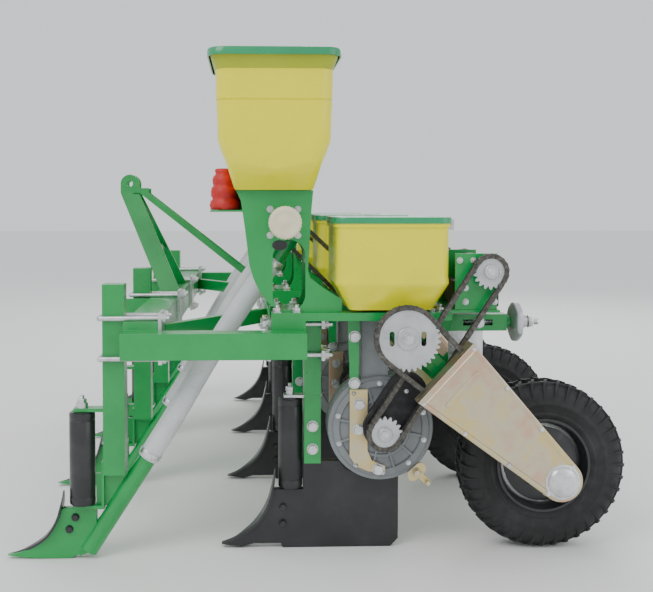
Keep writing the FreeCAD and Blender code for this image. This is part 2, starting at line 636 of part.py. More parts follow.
def row_frames():
    """Each row's green steelwork: rails, channel, hangers, bearing plates, tube and opener post."""
    rail_z = ("rail_low", "rail_high")
    rail_x = ("rear_front", "rail_end")
    rails = [box(rail_x, ("rail_inner", "rail_outer"), rail_z),
             box(rail_x, ("-rail_outer", "-rail_inner"), rail_z)]
    saddles = [box(("rear_front", REAR_END), span, ("rear_top", "rail_low"))
               for span in (("rail_inner", "rail_outer"), ("-rail_outer", "-rail_inner"))]
    cross = box(("-channel_depth", "0"), ("-rail_inner", "rail_inner"), rail_z)
    tail = box(("rail_end - channel_depth", "rail_end"), ("-rail_inner", "rail_inner"),
               ("tube_low", "rail_high"))
    channel = cut(box(("-channel_depth", "0"), ("-channel_half", "channel_half"), ("channel_low", "rail_low")),
                  box(("thin - channel_depth", "0"), ("thin - channel_half", "channel_half - thin"),
                      ("channel_low + 4", "rail_low - 4")))
    hangers = []
    for start, rail in (("hanger_near", "-rail_outer"), ("hanger_far", "rail_outer")):
        face = (start, f"{start} + hanger_thick")
        x = ("shaft_x - hanger_half", "shaft_x + hanger_half")
        reach = (start, rail) if start == "hanger_near" else (rail, face[1])
        hole = rod("y", ("shaft_x", "shaft_z"), "shaft_radius + gap / 3", (f"{start} - 1", f"{face[1]} + 1"))
        hangers.append(cut(join(box(x, face, ("hanger_low", "rail_high")), box(x, reach, rail_z)), hole))
    node_of_rows("row_frames", [join(*rails, *saddles, cross, tail, channel, *hangers),
                                *gearbox_brackets(), depth_tube(), meter_strap(), *opener_post()])


def gearbox_brackets():
    """The two upright plates that carry the gearbox and its shaft behind the seed box."""
    base = box(("rail_end - 20", "gearbox_right"), ("gearbox_near - bearing_plate - 8", "gearbox_far + 8"),
               ("rail_high", "rail_high + 6"))
    plates = []
    for low in ("gearbox_near - bearing_plate - 2", "gearbox_far + 2"):
        span = (low, f"{low} + bearing_plate")
        face = box(("rail_end + 6", "gearbox_right - 6"), span, ("rail_high + 6", "bearing_top"))
        plates.append(cut(face, rod("y", ("gearbox_x", "gearbox_z"), "gearbox_shaft + gap / 3", span)))
    return [base, *plates]


def depth_tube():
    """The slotted square tube that guides the depth slider, with its collar for the screw."""
    z = ("tube_low", "tube_low + tube_side")
    half = "tube_side / 2"
    inner = "tube_side / 2 - tube_wall"
    tube = box(("rail_end", "tube_end"), (f"-{half}", half), z)
    room = box(("rail_end", "tube_end - 4"), (f"-({inner})", inner),
               ("tube_low + tube_wall", "tube_low + tube_side - tube_wall"))
    collar = rod("x", ("0", DEPTH_Z), "14", ("tube_end", "wheel_start - 1"))
    bore = rod("x", ("0", DEPTH_Z), "screw_radius + gap / 3", ("tube_end - 5", "wheel_start"))
    slot = box(("slot_start", "slot_end - 6"), (f"-{half}", half), (f"{DEPTH_Z} - 7", f"{DEPTH_Z} + 7"))
    pin_x, pin_z = pin_place()
    low_slot = box((f"{pin_x} - 18 - slider_travel - 2", "slider_x + slider_half + slider_travel + 2"),
                   ("-3.5", "3.5"), ("tube_low", "tube_low + tube_wall"))
    return cut(join(tube, collar), room, bore, slot, low_slot)


STRAP_NEAR = "meter_near - 6"


def meter_strap():
    """The tapered hanger from the near rail to the meter's bracket."""
    return plate([("60", "rail_low"), ("88", "rail_low"), ("85", "395"), ("66", "395")],
                 (STRAP_NEAR, "meter_near"), "strap")


def opener_post():
    """The fertiliser opener's square post, its gusset, and the two arms of its straw roller."""
    post = box((POST_FRONT, "beam_front"), shifted("post / 2"), ("post_low", "post_high"))
    gusset = plate([(f"{POST_FRONT} - 20", "post_low"), ("beam_front", "post_low"),
                    (f"{POST_FRONT} + 20", "front_roller_low"), (f"{POST_FRONT} - 20", "front_roller_low - 9")],
                   shifted("4"), "gusset")
    gusset = cut(gusset, boot_axis("boot_length", "boot_radius"))
    arm = ("front_roller_x - 18", POST_FRONT)
    hole = rod("z", ("front_roller_x", "opener_shift"), "spindle_radius", ("post_low - 100", "post_high"))
    top = box(arm, shifted("16"), ("front_roller_high + 1", "front_roller_high + 9"))
    foot = box(arm, shifted("16"), ("front_roller_low - 9", "front_roller_low - 1"))
    prong = box((f"{POST_FRONT} - 6", POST_FRONT), shifted("16"), ("front_roller_low - 1", "post_low + 30"))
    return [post, cut(gusset, prong, foot), cut(top, hole), cut(join(foot, prong), hole)]


def hopper_stands():
    """The green tower under each fertiliser hopper, its side plates, trays and feeder box."""
    outline = [("-201", "hopper_floor"), ("-22", "hopper_floor"), ("-26", "819"), ("-34", "677"),
               ("-29", "659"), ("3", "635"), ("37", "613"), ("45", "610"), ("45", "rail_high"),
               ("-95", "rail_high"), ("-123", "598"), ("-146", "626"), ("-162", "660"), ("-170", "688"),
               ("-180", "770"), ("-190", "839")]
    knob_hole = ("feed_x", "feed_z")
    sides = []
    for low in ("-75", "75 - thin"):
        span = (low, f"{low} + thin")
        window = box(("-116", "-40"), span, ("620", "709"))
        ends = [rod("y", ("-78", height), "38", span) for height in ("620", "709")]
        side = plate(outline, span, "tower_side")
        sides.append(cut(side, window, *ends, rod("y", knob_hole, "feed_shaft + gap / 3", span)))
    inner = ("thin - 75", "75 - thin")
    floor = box(("-95", "45"), inner, ("rail_high", "rail_high + thin"))
    back = box(("-38", "-34"), inner, ("690", "feeder_low"))
    top = cut(box(("-198", "-24"), inner, ("hopper_floor - thin", "hopper_floor")),
              box(("feed_x - 30", "feed_x + 30"), ("-30", "30"), ("hopper_floor - thin", "hopper_floor")))
    shelf = box(("-262", "-186"), ("-40", "40"), ("812", "816"))
    wings = box(("-200", "-186"), inner, ("812", "816"))
    node_of_rows("hopper_stands", [*sides, floor, back, top, join(shelf, wings), feeder_box()])


def feeder_box():
    """The fluted-roller feeder under the hopper, with its outlet spout."""
    x = ("feed_x - feeder_reach", "feed_x + feeder_reach")
    body = box(x, ("-feeder_half", "feeder_half"), ("feeder_low", "hopper_floor - thin"))
    room = box((f"{x[0]} + thin", f"{x[1]} - thin"), ("thin - feeder_half", "feeder_half - thin"),
               ("feeder_low + thin", "hopper_floor - thin"))
    hole = rod("y", ("feed_x", "feed_z"), "feed_shaft + gap / 3", ("-feeder_half", "feeder_half"))
    start, after = FreeCAD.Vector(HOSE[0]), FreeCAD.Vector(HOSE[1])
    spout = doc.addObject("Part::Cylinder", "spout")
    spout.Placement = FreeCAD.Placement(start, FreeCAD.Rotation(FreeCAD.Vector(0, 0, 1), start - after))
    bind(spout, "Radius", "hose_radius - 3")
    bind(spout, "Height", "70")
    return cut(join(body, spout), room, hole)


HOSE = ((-110, 0, 700), (-190, 0, 590), (-290, -30, 430), (-349.6, -55, 327.4), (-409, -55, 235))


def fertilizer_hoses():
    """The free hose from each feeder's spout down to its boot."""
    hose = doc.addObject("Part::Feature", "hose")
    hose.Shape = hose_tube(HOSE, size("hose_radius"))
    node_of_rows("fertilizer_hoses", [hose])


def hollow(levels, wall, centre):
    """A thin-walled funnel through (height, half x, half y) levels, open at its top."""
    outer, inner = [], []
    for number, (low, high) in enumerate(zip(levels, levels[1:])):
        outer.append(frustum(low[0], high[0], centred(centre, *low[1:]), centred(centre, *high[1:])))
        floor = f"{low[0]} + {wall}" if number == 0 else low[0]
        inner.append(frustum(floor, high[0], *(centred(centre, f"{level[1]} - {wall}", f"{level[2]} - {wall}")
                                               for level in (low, high))))
    return cut(join(*outer), join(*inner))


def fertilizer_hoppers():
    """The yellow fertiliser hoppers with their hinge lugs and pins, and each red rubber bell."""
    half_x, half_y = "hopper_half_x", "hopper_half_y"
    levels = [("hopper_floor", f"{half_x} - 38", f"{half_y} - 60"),
              ("hopper_band", f"{half_x} - 24", f"{half_y} - 14"),
              ("hopper_waist", f"{half_x} - 4", f"{half_y} - 4"),
              ("hopper_rim", half_x, half_y),
              ("hopper_top", f"{half_x} + flare", f"{half_y} + flare")]
    mouth = box(("feed_x - 30", "feed_x + 30"), ("-30", "30"), ("hopper_floor", "hopper_floor + wall"))
    shell = cut(hollow(levels, "wall", "hopper_x"), mouth)
    lugs = []
    for start in ("hopper_x - 100", "hopper_x + 88"):
        span = (start, f"{start} + 12")
        arm = box(span, (f"{half_y} - 2", f"{HINGE_Y} + 5"), ("hopper_rim - 4", "lid_low - 3"))
        post = box(span, (f"{HINGE_Y} - 5", f"{HINGE_Y} + 5"), ("lid_low - 3", "lid_low + 11"))
        lugs.append(join(arm, post))
    pin = rod("x", (HINGE_Y, "lid_low + 7"), "hinge_pin", ("hopper_x - 100", "hopper_x + 100"))
    body = join(shell, *[cut(lug, solid_core()) for lug in lugs], pin)
    bell = join(rod("z", ("-226", "0"), "37", ("816", "850")), rod("z", ("-228", "0"), "30", ("850", "882")),
                rod("z", ("-230", "0"), "23", ("882", "915")))
    node_of_rows("fertilizer_hoppers", [body, cut(bell, hopper_block())])


def solid_core():
    """The hopper's inside near its rim, so that the lugs stay out of it."""
    return box(("hopper_x - hopper_half_x", "hopper_x + hopper_half_x"),
               ("-hopper_half_y", "hopper_half_y - 3"), ("hopper_rim - 10", "hopper_top"))


def hopper_block():
    """The room round the hopper's lower band, kept free of the bell."""
    return frustum("hopper_floor - 1", "hopper_waist",
                   centred("hopper_x", "hopper_half_x - 34", "hopper_half_y"),
                   centred("hopper_x", "hopper_half_x", "hopper_half_y"))


def seed_boxes():
    """The yellow seed boxes, hollow and tapered at the bottom, with their hinge lugs and pins."""
    levels = [("seed_floor", "seed_half_x - 33", "seed_half_y - 25"),
              ("seed_crease", "seed_half_x", "seed_half_y"), ("seed_top", "seed_half_x", "seed_half_y")]
    rear = "seed_x + seed_half_x"
    lugs = []
    for start in ("-80", "70"):
        span = (start, f"{start} + 10")
        lugs.append(box((rear, "seed_hinge_x + 4"), span, ("seed_hinge_z - 21", "seed_hinge_z - 10")))
        lugs.append(box(("seed_hinge_x - 3", "seed_hinge_x + 4"), span, ("seed_hinge_z - 10", "seed_hinge_z + 4")))
    pin = rod("y", ("seed_hinge_x", "seed_hinge_z"), "2.5", ("-80", "80"))
    node_of_rows("seed_boxes", [join(hollow(levels, "wall", "seed_x"), *lugs, pin)])


def meter_and_gearbox_housings():
    """The seed meter's round housing with its feed neck, and the dark plant-spacing gearbox."""
    here = ("meter_x", "meter_z")
    shell = cut(join(rod("y", here, "meter_radius", ("meter_near", "meter_far")),
                     box(("meter_x - 46", "meter_x + 18"), ("meter_near + 10", "meter_far - 4"),
                         ("meter_z + meter_radius - 30", "seed_floor"))),
                rod("y", here, "meter_radius - meter_wall", ("meter_near + meter_wall", "meter_far - meter_wall")),
                box(("meter_x - 40", "meter_x + 12"), ("meter_near + 16", "meter_far - 10"),
                    ("meter_z + meter_radius - 32", "seed_floor")),
                rod("y", here, "meter_shaft + gap / 3", ("meter_near - 1", "meter_far + 1")))
    inside = ("gearbox_near", "gearbox_far")
    gear = join(box(("gearbox_left", "gearbox_right"), inside, ("gearbox_low", "gearbox_high")),
                cut(rod("y", ("gearbox_x", "gearbox_z"), "gearbox_hump", inside),
                    box(("gearbox_right", "gearbox_right + 20"), inside, ("gearbox_low", "bearing_top"))))
    foot = box(("gearbox_left", "gearbox_right"), ("-60", "60"), ("rail_high + 6", "gearbox_low"))
    hole = rod("y", ("gearbox_x", "gearbox_z"), "gearbox_shaft + gap / 3", inside)
    node_of_rows("meter_and_gearbox_housings", [shell, cut(join(gear, foot), hole)])


def drive_chains():
    """The three fixed chain runs of each row: to the meter, to the gearbox and to the feeder."""
    small, feed = pitch_radius("teeth_small"), pitch_radius("teeth_feed")
    drive = ("shaft_x", "shaft_z", small)
    gearbox = ("gearbox_x", "gearbox_z", small)
    node_of_rows("drive_chains", [chain([("meter_x", "meter_z", small), gearbox], "plane_meter"),
                                  chain([drive, gearbox], "plane_gearbox"),
                                  chain([drive, ("feed_x", "feed_z", feed)], "plane_feed")])


def clamps_and_bolts():
    """Clamps, long bolts, roller spindles, the meter's zinc brackets and the channel's packing."""
    node_of_rows("clamps_and_bolts", [*post_clamps(), *channel_bolts(), *spindles(), *meter_brackets()])


def post_clamps():
    pieces = []
    legs = []
    for z in ("front_top + bolt_radius + 1", "beam_low - bolt_radius - 1"):
        sides = ["opener_shift - post / 2 - bolt_radius", "opener_shift + post / 2 + bolt_radius"]
        bars = [rod("x", (y, z), "bolt_radius", (f"{POST_FRONT} - 6", f"{BEAM_END} + 25")) for y in sides]
        bow = rod("y", (f"{POST_FRONT} - 6", z), "bolt_radius", tuple(sides))
        legs += bars
        pieces.append(join(*bars, bow))
        nuts = (f"{BEAM_END} + 8", f"{BEAM_END} + 8 + nut_height")
        pieces += [ring("x", (y, z), "nut_radius", "bolt_radius", nuts) for y in sides]
    strap = box((BEAM_END, f"{BEAM_END} + 8"), shifted("post / 2 + 15"), ("beam_low - 20", "front_top + 20"))
    return [*pieces, cut(strap, *legs)]


def channel_bolts():
    """Two pairs of long bolts, with nuts and a front plate, that hold the channel to the rear beam."""
    pieces, bolts = [], []
    for z in ("rear_top + bolt_radius + 1", "beam_low - bolt_radius - 1"):
        for y in ("-channel_half - bolt_radius - 2", "channel_half + bolt_radius + 2"):
            bolt = rod("x", (y, z), "bolt_radius", ("rear_front - 24", "thin + 22"))
            bolts.append(bolt)
            for start in ("rear_front - 8 - nut_height", "thin + 4"):
                nut = (start, f"{start} + nut_height")
                pieces.append(ring("x", (y, z), "nut_radius", "bolt_radius", nut))
    front = box(("rear_front - 8", "rear_front"), ("-50", "50"), ("beam_low - 20", "rear_top + 18"))
    rear = box(("0", "thin + 4"), ("-50", "50"), ("beam_low - 20", "beam_low + 4"))
    upper = box(("0", "thin + 4"), ("-50", "50"), ("rear_top - 4", "rear_top + 18"))
    return [*pieces, *bolts, cut(front, *bolts), cut(rear, *bolts), cut(upper, *bolts)]


def spindles():
    """The pins on which the straw rollers turn, and the rear roller's upper and lower arms."""
    here = ("front_roller_x", "opener_shift")
    front = join(rod("z", here, "spindle_radius", ("front_roller_low - 9", "front_roller_high + 16")),
                 rod("z", here, "nut_radius + 4", ("front_roller_high + 9", "front_roller_high + 20")))
    back = ("rear_roller_x", "0")
    rear = join(rod("z", back, "spindle_radius", ("141", "rear_roller_high + 16")),
                rod("z", back, "nut_radius", ("rear_roller_high + 7", "rear_roller_high + 16")),
                rod("z", back, "nut_radius", ("141", "rear_roller_low - 1")))
    arm = cut(box(("rear_roller_x - 16", "-channel_depth"), ("-16", "16"),
                  ("rear_roller_high + 1", "rear_roller_high + 7")),
              rod("z", back, "spindle_radius", ("141", "rear_roller_high + 16")))
    return [front, rear, arm]


def meter_brackets():
    """The zinc hook that carries the meter, and the latch plate at its lower rear."""
    near = (STRAP_NEAR, "meter_near")
    hook = plate([("65", "395"), ("108", "395"), ("108", "250"), ("118", "226"), ("150", "212"),
                  ("150", "196"), ("110", "199"), ("80", "212"), ("65", "236")], near, "hook")
    latch = plate([("190", "205"), ("232", "226"), ("252", "212"), ("246", "176"), ("222", "160"),
                   ("196", "168")], near, "latch")
    grip = rod("y", ("236", "203"), "7", (STRAP_NEAR, "meter_near + 20"))
    return [hook, cut(latch, grip), grip]


def check_and_write():
    """Stop on any failed object, then write each sub-part to its own file."""
    doc.recompute()
    failed = [piece.Name for piece in doc.Objects
              if "Invalid" in piece.State or "Error" in piece.State or not piece.isValid()]
    if failed:
        raise RuntimeError(f"failed objects: {failed}")
    for group in NODES:
        if group.Shape.isNull() or not group.Shape.isValid():
            raise RuntimeError(f"bad shape: {group.Label}")
    os.makedirs("parts", exist_ok=True)
    for group in NODES:
        group.Shape.exportStep(f"parts/{group.Label}.step")
    print(f"wrote {len(NODES)} nodes")


fill_sheet()
for make in (wheel, wheel_arm, drive_shaft, gearbox_shaft, meter_rotor, feed_shaft, depth_screw, straw_rollers,
             hopper_lid, seed_lid, main_frame, hitch_mast, fertilizer_openers, seed_openers, row_frames,
             hopper_stands, fertilizer_hoppers, seed_boxes, meter_and_gearbox_housings, fertilizer_hoses,
             drive_chains, clamps_and_bolts):
    make()
check_and_write()
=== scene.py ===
import json
import math
import bmesh
import bpy
from mathutils import Matrix, Vector


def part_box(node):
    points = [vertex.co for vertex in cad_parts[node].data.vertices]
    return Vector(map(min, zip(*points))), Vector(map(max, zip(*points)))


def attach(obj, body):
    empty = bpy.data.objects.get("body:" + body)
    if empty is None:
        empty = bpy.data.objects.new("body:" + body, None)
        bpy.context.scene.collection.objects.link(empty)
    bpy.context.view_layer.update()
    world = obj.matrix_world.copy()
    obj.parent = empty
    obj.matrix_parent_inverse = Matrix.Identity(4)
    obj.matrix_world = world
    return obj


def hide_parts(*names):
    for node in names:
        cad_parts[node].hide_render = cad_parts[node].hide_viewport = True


# Four-row corn planter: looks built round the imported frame. Metres, +X to the rear, +Z up.

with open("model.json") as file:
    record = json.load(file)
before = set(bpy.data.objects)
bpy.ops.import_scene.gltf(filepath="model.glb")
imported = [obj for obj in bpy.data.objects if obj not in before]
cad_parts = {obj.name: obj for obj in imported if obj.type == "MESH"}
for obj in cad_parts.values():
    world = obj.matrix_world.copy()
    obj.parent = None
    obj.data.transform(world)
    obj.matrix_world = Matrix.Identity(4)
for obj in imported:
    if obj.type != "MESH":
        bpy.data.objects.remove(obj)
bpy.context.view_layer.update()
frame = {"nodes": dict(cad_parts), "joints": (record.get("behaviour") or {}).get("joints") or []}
ROWS = ("1", "2", "3", "4")
JOINTS = {joint["name"]: joint for joint in frame["joints"]}


def pivot(name):
    return Vector(JOINTS[name]["pos_m"])


ROW_Y = {row: pivot(f"wheel_spin_{row}").y for row in ROWS}
AXLE, DRIVE = pivot("wheel_spin_1"), pivot("drive_spin_1")
GEARBOX, METER, FEED = pivot("gearbox_spin_1"), pivot("meter_spin_1"), pivot("feed_spin_1")
ARM_LENGTH = math.hypot(AXLE.x - DRIVE.x, AXLE.z - DRIVE.z)
ARM_DROP = math.atan2(DRIVE.z - AXLE.z, AXLE.x - DRIVE.x)
CHAIN_PITCH = 0.0127


def pitch_radius(teeth):
    return CHAIN_PITCH / (2 * math.sin(math.pi / teeth))


def polar(radius, angle):
    return radius * math.cos(angle), radius * math.sin(angle)


# ---------------------------------------------------------------- materials

class Shader:
    """A node tree under construction, with short ways to add and link nodes."""

    def __init__(self, name):
        self.material = bpy.data.materials.new(name)
        self.material.use_nodes = True
        self.tree = self.material.node_tree
        self.surface = self.tree.nodes["Principled BSDF"]
        self.space = self.add("ShaderNodeTexCoord").outputs["Object"]

    def add(self, kind, **fields):
        node = self.tree.nodes.new(kind)
        for field, value in fields.items():
            setattr(node, field, value)
        return node

    def link(self, source, target):
        self.tree.links.new(source, target)

    def noise(self, scale, detail=4.0, rough=0.55):
        noise = self.add("ShaderNodeTexNoise")
        noise.inputs["Scale"].default_value = scale
        noise.inputs["Detail"].default_value = detail
        noise.inputs["Roughness"].default_value = rough
        self.link(self.space, noise.inputs["Vector"])
        return noise.outputs["Fac"]

    def ramp(self, source, stops):
        ramp = self.add("ShaderNodeValToRGB")
        elements = ramp.color_ramp.elements
        while len(elements) < len(stops):
            elements.new(0.5)
        for element, (place, colour) in zip(elements, stops):
            element.position = place
            element.color = (*colour, 1.0)
        self.link(source, ramp.inputs["Fac"])
        return ramp.outputs["Color"]

    def span(self, source, low, high):
        span = self.add("ShaderNodeMapRange")
        span.inputs["From Min"].default_value = 0.3
        span.inputs["From Max"].default_value = 0.7
        span.inputs["To Min"].default_value = low
        span.inputs["To Max"].default_value = high
        self.link(source, span.inputs["Value"])
        return span.outputs["Result"]

    def bump(self, heights):
        """Stacks (height source, strength, distance) into one normal."""
        normal = None
        for height, strength, distance in heights:
            bump = self.add("ShaderNodeBump")
            bump.inputs["Strength"].default_value = strength
            bump.inputs["Distance"].default_value = distance
            self.link(height, bump.inputs["Height"])
            if normal:
                self.link(normal, bump.inputs["Normal"])
            normal = bump.outputs["Normal"]
        self.link(normal, self.surface.inputs["Normal"])

    def set(self, **values):
        for name, value in values.items():
            self.surface.inputs[name.replace("_", " ")].default_value = value


def tinted(colour, factor):
    return tuple(min(1.0, channel * factor) for channel in colour)


def finish_material(name, colour, tints, roughness, bumps, patch=7.0, **settings):
    """Paint, plastic or metal: mottled colour, uneven gloss and a fine surface texture."""
    shader = Shader(name)
    dark, light = tints
    mottle = shader.noise(patch, 6.0, 0.6)
    colours = [(0.3, tinted(colour, dark)), (0.5, colour), (0.72, tinted(colour, light))]
    shader.link(shader.ramp(mottle, colours), shader.surface.inputs["Base Color"])
    smears = shader.noise(patch * 3, 5.0, 0.65)
    shader.link(shader.span(smears, *roughness), shader.surface.inputs["Roughness"])
    shader.bump([(shader.noise(scale, 3.0, 0.6), strength, distance)
                 for scale, strength, distance in bumps])
    shader.set(**settings)
    return shader.material


def zinc_yellow():
    """Passivated zinc: straw and silver drifting into faint rose and green."""
    shader = Shader("zinc_yellow")
    drift = shader.noise(9.0, 5.0, 0.62)
    stops = [(0.28, (0.5, 0.5, 0.38)), (0.42, (0.66, 0.53, 0.25)), (0.52, (0.58, 0.53, 0.38)),
             (0.62, (0.62, 0.42, 0.3)), (0.75, (0.46, 0.52, 0.36))]
    shader.link(shader.ramp(drift, stops), shader.surface.inputs["Base Color"])
    smears = shader.noise(30.0, 6.0, 0.7)
    shader.link(shader.span(smears, 0.24, 0.46), shader.surface.inputs["Roughness"])
    shader.bump([(shader.noise(45.0), 0.12, 0.001), (shader.noise(700.0, 2.0), 0.15, 0.0002)])
    shader.set(Metallic=0.85)
    return shader.material


# Bumps are (noise scale, strength, distance), coarse or fine.
FINE = [(22.0, 0.1, 0.0015), (900.0, 0.12, 0.0001)]
PEEL = [(9.0, 0.12, 0.003), (320.0, 0.16, 0.0003)]
GRAIN = [(1500.0, 0.25, 0.0001), (60.0, 0.08, 0.001)]
CAST = [(240.0, 0.35, 0.0004), (30.0, 0.1, 0.002)]
RUBBER = [(400.0, 0.3, 0.0003), (35.0, 0.12, 0.001)]

# Each finish: colour, darkest and lightest tint, roughness from and to, bumps, and what else differs.
FINISHES = {
    "green_paint": ((0.002, 0.3, 0.06), (0.8, 1.12), (0.26, 0.42), PEEL,
                    dict(Coat_Weight=0.35, Coat_Roughness=0.12)),
    "black_paint": ((0.014, 0.014, 0.016), (0.6, 2.2), (0.3, 0.52), PEEL, dict(Coat_Weight=0.25)),
    "bright_zinc": ((0.68, 0.69, 0.7), (0.72, 1.12), (0.22, 0.44), FINE, dict(patch=35.0, Metallic=0.95)),
    "cast_face": ((0.52, 0.54, 0.55), (0.82, 1.1), (0.34, 0.5), FINE, dict(patch=25.0, Metallic=0.7)),
    "chain_steel": ((0.1, 0.095, 0.085), (0.55, 1.9), (0.3, 0.55), FINE, dict(patch=120.0, Metallic=0.8)),
    "yellow_plastic": ((0.82, 0.76, 0.001), (0.94, 1.03), (0.22, 0.36), GRAIN,
                       dict(patch=3.5, Coat_Weight=0.2, Coat_Roughness=0.2,
                            Subsurface_Weight=0.04, Subsurface_Scale=0.004)),
    "olive_plastic": ((0.36, 0.42, 0.004), (0.85, 1.1), (0.3, 0.42), GRAIN, dict(patch=5.0)),
    "lid_green": ((0.006, 0.27, 0.1), (0.85, 1.15), (0.22, 0.38), GRAIN, dict(patch=4.0, Coat_Weight=0.3)),
    "grey_plastic": ((0.2, 0.215, 0.225), (0.82, 1.18), (0.34, 0.5), GRAIN, dict(patch=12.0)),
    "cream_plastic": ((0.72, 0.66, 0.47), (0.92, 1.05), (0.36, 0.5), GRAIN, dict(patch=20.0)),
    "hose_plastic": ((0.66, 0.68, 0.7), (0.88, 1.1), (0.25, 0.4), FINE,
                     dict(patch=14.0, Transmission_Weight=0.12,
                          Subsurface_Weight=0.15, Subsurface_Scale=0.01)),
    "red_rubber": ((0.5, 0.012, 0.01), (0.75, 1.2), (0.42, 0.6), GRAIN, dict(patch=25.0)),
    # The dark iron finish also serves as painted shadow: it darkens the oval badge beside the feeder knob.
    "dark_iron": ((0.035, 0.035, 0.038), (0.6, 1.8), (0.45, 0.65), CAST, dict(patch=30.0, Metallic=0.4)),
    "tyre_rubber": ((0.016, 0.016, 0.017), (0.7, 2.0), (0.62, 0.82), RUBBER, dict(patch=16.0)),
    "rim_paint": ((0.012, 0.012, 0.014), (0.7, 1.7), (0.25, 0.4), PEEL, dict(Coat_Weight=0.3)),
}


# One material for each finish, named after it.
MATERIALS = {name: finish_material(name, *values, **settings)
             for name, (*values, settings) in FINISHES.items()}
MATERIALS["zinc_yellow"] = zinc_yellow()


# ---------------------------------------------------------------- meshes

def shown(name, mesh, body, material, nodes=(), bevel=0.0, sharp=32):
    """Links a mesh as a piece of a body, with its finish, soft shading and optional rounded edges."""
    piece = bpy.data.objects.new(name, mesh)
    bpy.context.collection.objects.link(piece)
    mesh.materials.clear()
    mesh.materials.append(MATERIALS[material])
    mesh.polygons.foreach_set("use_smooth", [True] * len(mesh.polygons))
    if bevel:
        rounding = piece.modifiers.new("edges", "BEVEL")
        rounding.width = bevel
        rounding.segments = 2
        rounding.limit_method = "ANGLE"
        rounding.angle_limit = math.radians(sharp)
        rounding.harden_normals = True
    mesh.set_sharp_from_angle(angle=math.radians(sharp + 8))
    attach(piece, body)
    if nodes:
        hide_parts(*nodes)


def to_mesh(shape):
    mesh = bpy.data.meshes.new("mesh")
    shape.to_mesh(mesh)
    shape.free()
    return mesh


def gathered(parts):
    """One mesh from many, each given alone or as (mesh, matrix)."""
    points, faces = [], []
    for part in parts:
        mesh, place = part if isinstance(part, tuple) else (part, Matrix())
        start = len(points)
        points += [place @ vertex.co for vertex in mesh.vertices]
        faces += [[start + corner for corner in face.vertices] for face in mesh.polygons]
    joined = bpy.data.meshes.new("group")
    joined.from_pydata(points, [], faces)
    joined.update()
    return joined


NO_ENDS, LAST_END, BOTH_ENDS = (False, False), (False, True), (True, True)


def skin(loops, ends=NO_ENDS, closed=True):
    """A mesh over rings of equally many points, with flat ends where asked."""
    shape = bmesh.new()
    rings = [[shape.verts.new(point) for point in loop] for loop in loops]
    for first, second in zip(rings, rings[1:]):
        count = len(first)
        for corner in range(count if closed else count - 1):
            after = (corner + 1) % count
            shape.faces.new((first[corner], first[after], second[after], second[corner]))
    for ring, wanted in ((rings[0], ends[0]), (rings[-1], ends[1])):
        if wanted:
            shape.faces.new(ring)
    bmesh.ops.recalc_face_normals(shape, faces=shape.faces)
    return to_mesh(shape)


TO_AXIS = {"Z": Matrix(), "Y": Matrix.Rotation(-math.pi / 2, 4, "X")}
TO_NEAR, TO_FAR, TO_REAR, TO_FRONT, TO_TOP = (0, -1, 0), (0, 1, 0), (1, 0, 0), (-1, 0, 0), (0, 0, 1)
NEARLY_ZERO = 1e-5
FINE_THREAD = 0.0016
MERGE_DISTANCE = 0.00002


def turned(profile, axis="Y", place=(0, 0, 0), steps=64):
    """A shape turned about an axis from (radius, height) points; radius 0 closes an end."""
    loops = [[(*polar(max(radius, NEARLY_ZERO), turn * math.tau / steps), height) for turn in range(steps)]
             for radius, height in profile]
    mesh = skin(loops, (profile[0][0] == 0, profile[-1][0] == 0))
    mesh.transform(Matrix.Translation(place) @ TO_AXIS[axis])
    return mesh


def flat(outlines, thickness, bevel):
    """A flat plate with holes from closed outlines, in the X-Z plane, centred on Y = 0."""
    curve = bpy.data.curves.new("flat", "CURVE")
    curve.dimensions = "2D"
    curve.fill_mode = "BOTH"
    curve.extrude = thickness / 2 - bevel
    curve.bevel_depth = bevel
    curve.bevel_resolution = 1
    for outline in outlines:
        spline = curve.splines.new("POLY")
        spline.points.add(len(outline) - 1)
        for point, (x, z) in zip(spline.points, outline):
            point.co = (x, z, 0, 1)
        spline.use_cyclic_u = True
    holder = bpy.data.objects.new("flat", curve)
    mesh = bpy.data.meshes.new_from_object(holder)
    bpy.data.objects.remove(holder)
    bpy.data.curves.remove(curve)
    mesh.transform(Matrix.Rotation(math.pi / 2, 4, "X"))
    return mesh


def circle(radius, steps):
    return [polar(radius, turn * math.tau / steps) for turn in range(steps)]


def capsule(half_length, radius, centre=(0, 0), tilt=0.0, steps=12):
    """The outline of a round-ended bar, turned by a tilt about its centre."""
    points = []
    for side in (1, -1):
        for step in range(steps + 1):
            x, z = polar(radius, step * math.pi / steps - side * math.pi / 2)
            points.append((side * half_length + x, z))
    cosine, sine = math.cos(tilt), math.sin(tilt)
    return [(centre[0] + x * cosine - z * sine, centre[1] + x * sine + z * cosine) for x, z in points]


def hexagon_head(across, height, tip=0.0):
    """A hex nut or head on its washer, axis +Z from 0, with a thread end above when tip is set."""
    corner = across / math.sqrt(3)
    washer, thick = across / 2 * 1.25, height * 0.18
    disc = turned([(0, 0), (washer, 0), (washer, thick), (0, thick)], "Z", steps=28)
    loops = [[(*polar(corner * share, turn * math.pi / 3), height * level) for turn in range(6)]
             for level, share in ((0.18, 0.97), (0.26, 1.0), (0.88, 1.0), (1.0, 0.9))]
    parts = [disc, skin(loops, BOTH_ENDS)]
    if tip:
        bolt = across * 0.3
        thread = [(0, height)]
        turns = max(3, int(tip / FINE_THREAD))
        for step in range(turns):
            low = height + tip * step / turns
            thread += [(bolt * 0.9, low), (bolt, low + tip * 0.5 / turns)]
        thread += [(bolt * 0.85, height + tip), (0, height + tip)]
        parts.append(turned(thread, "Z", steps=16))
    return gathered(parts)


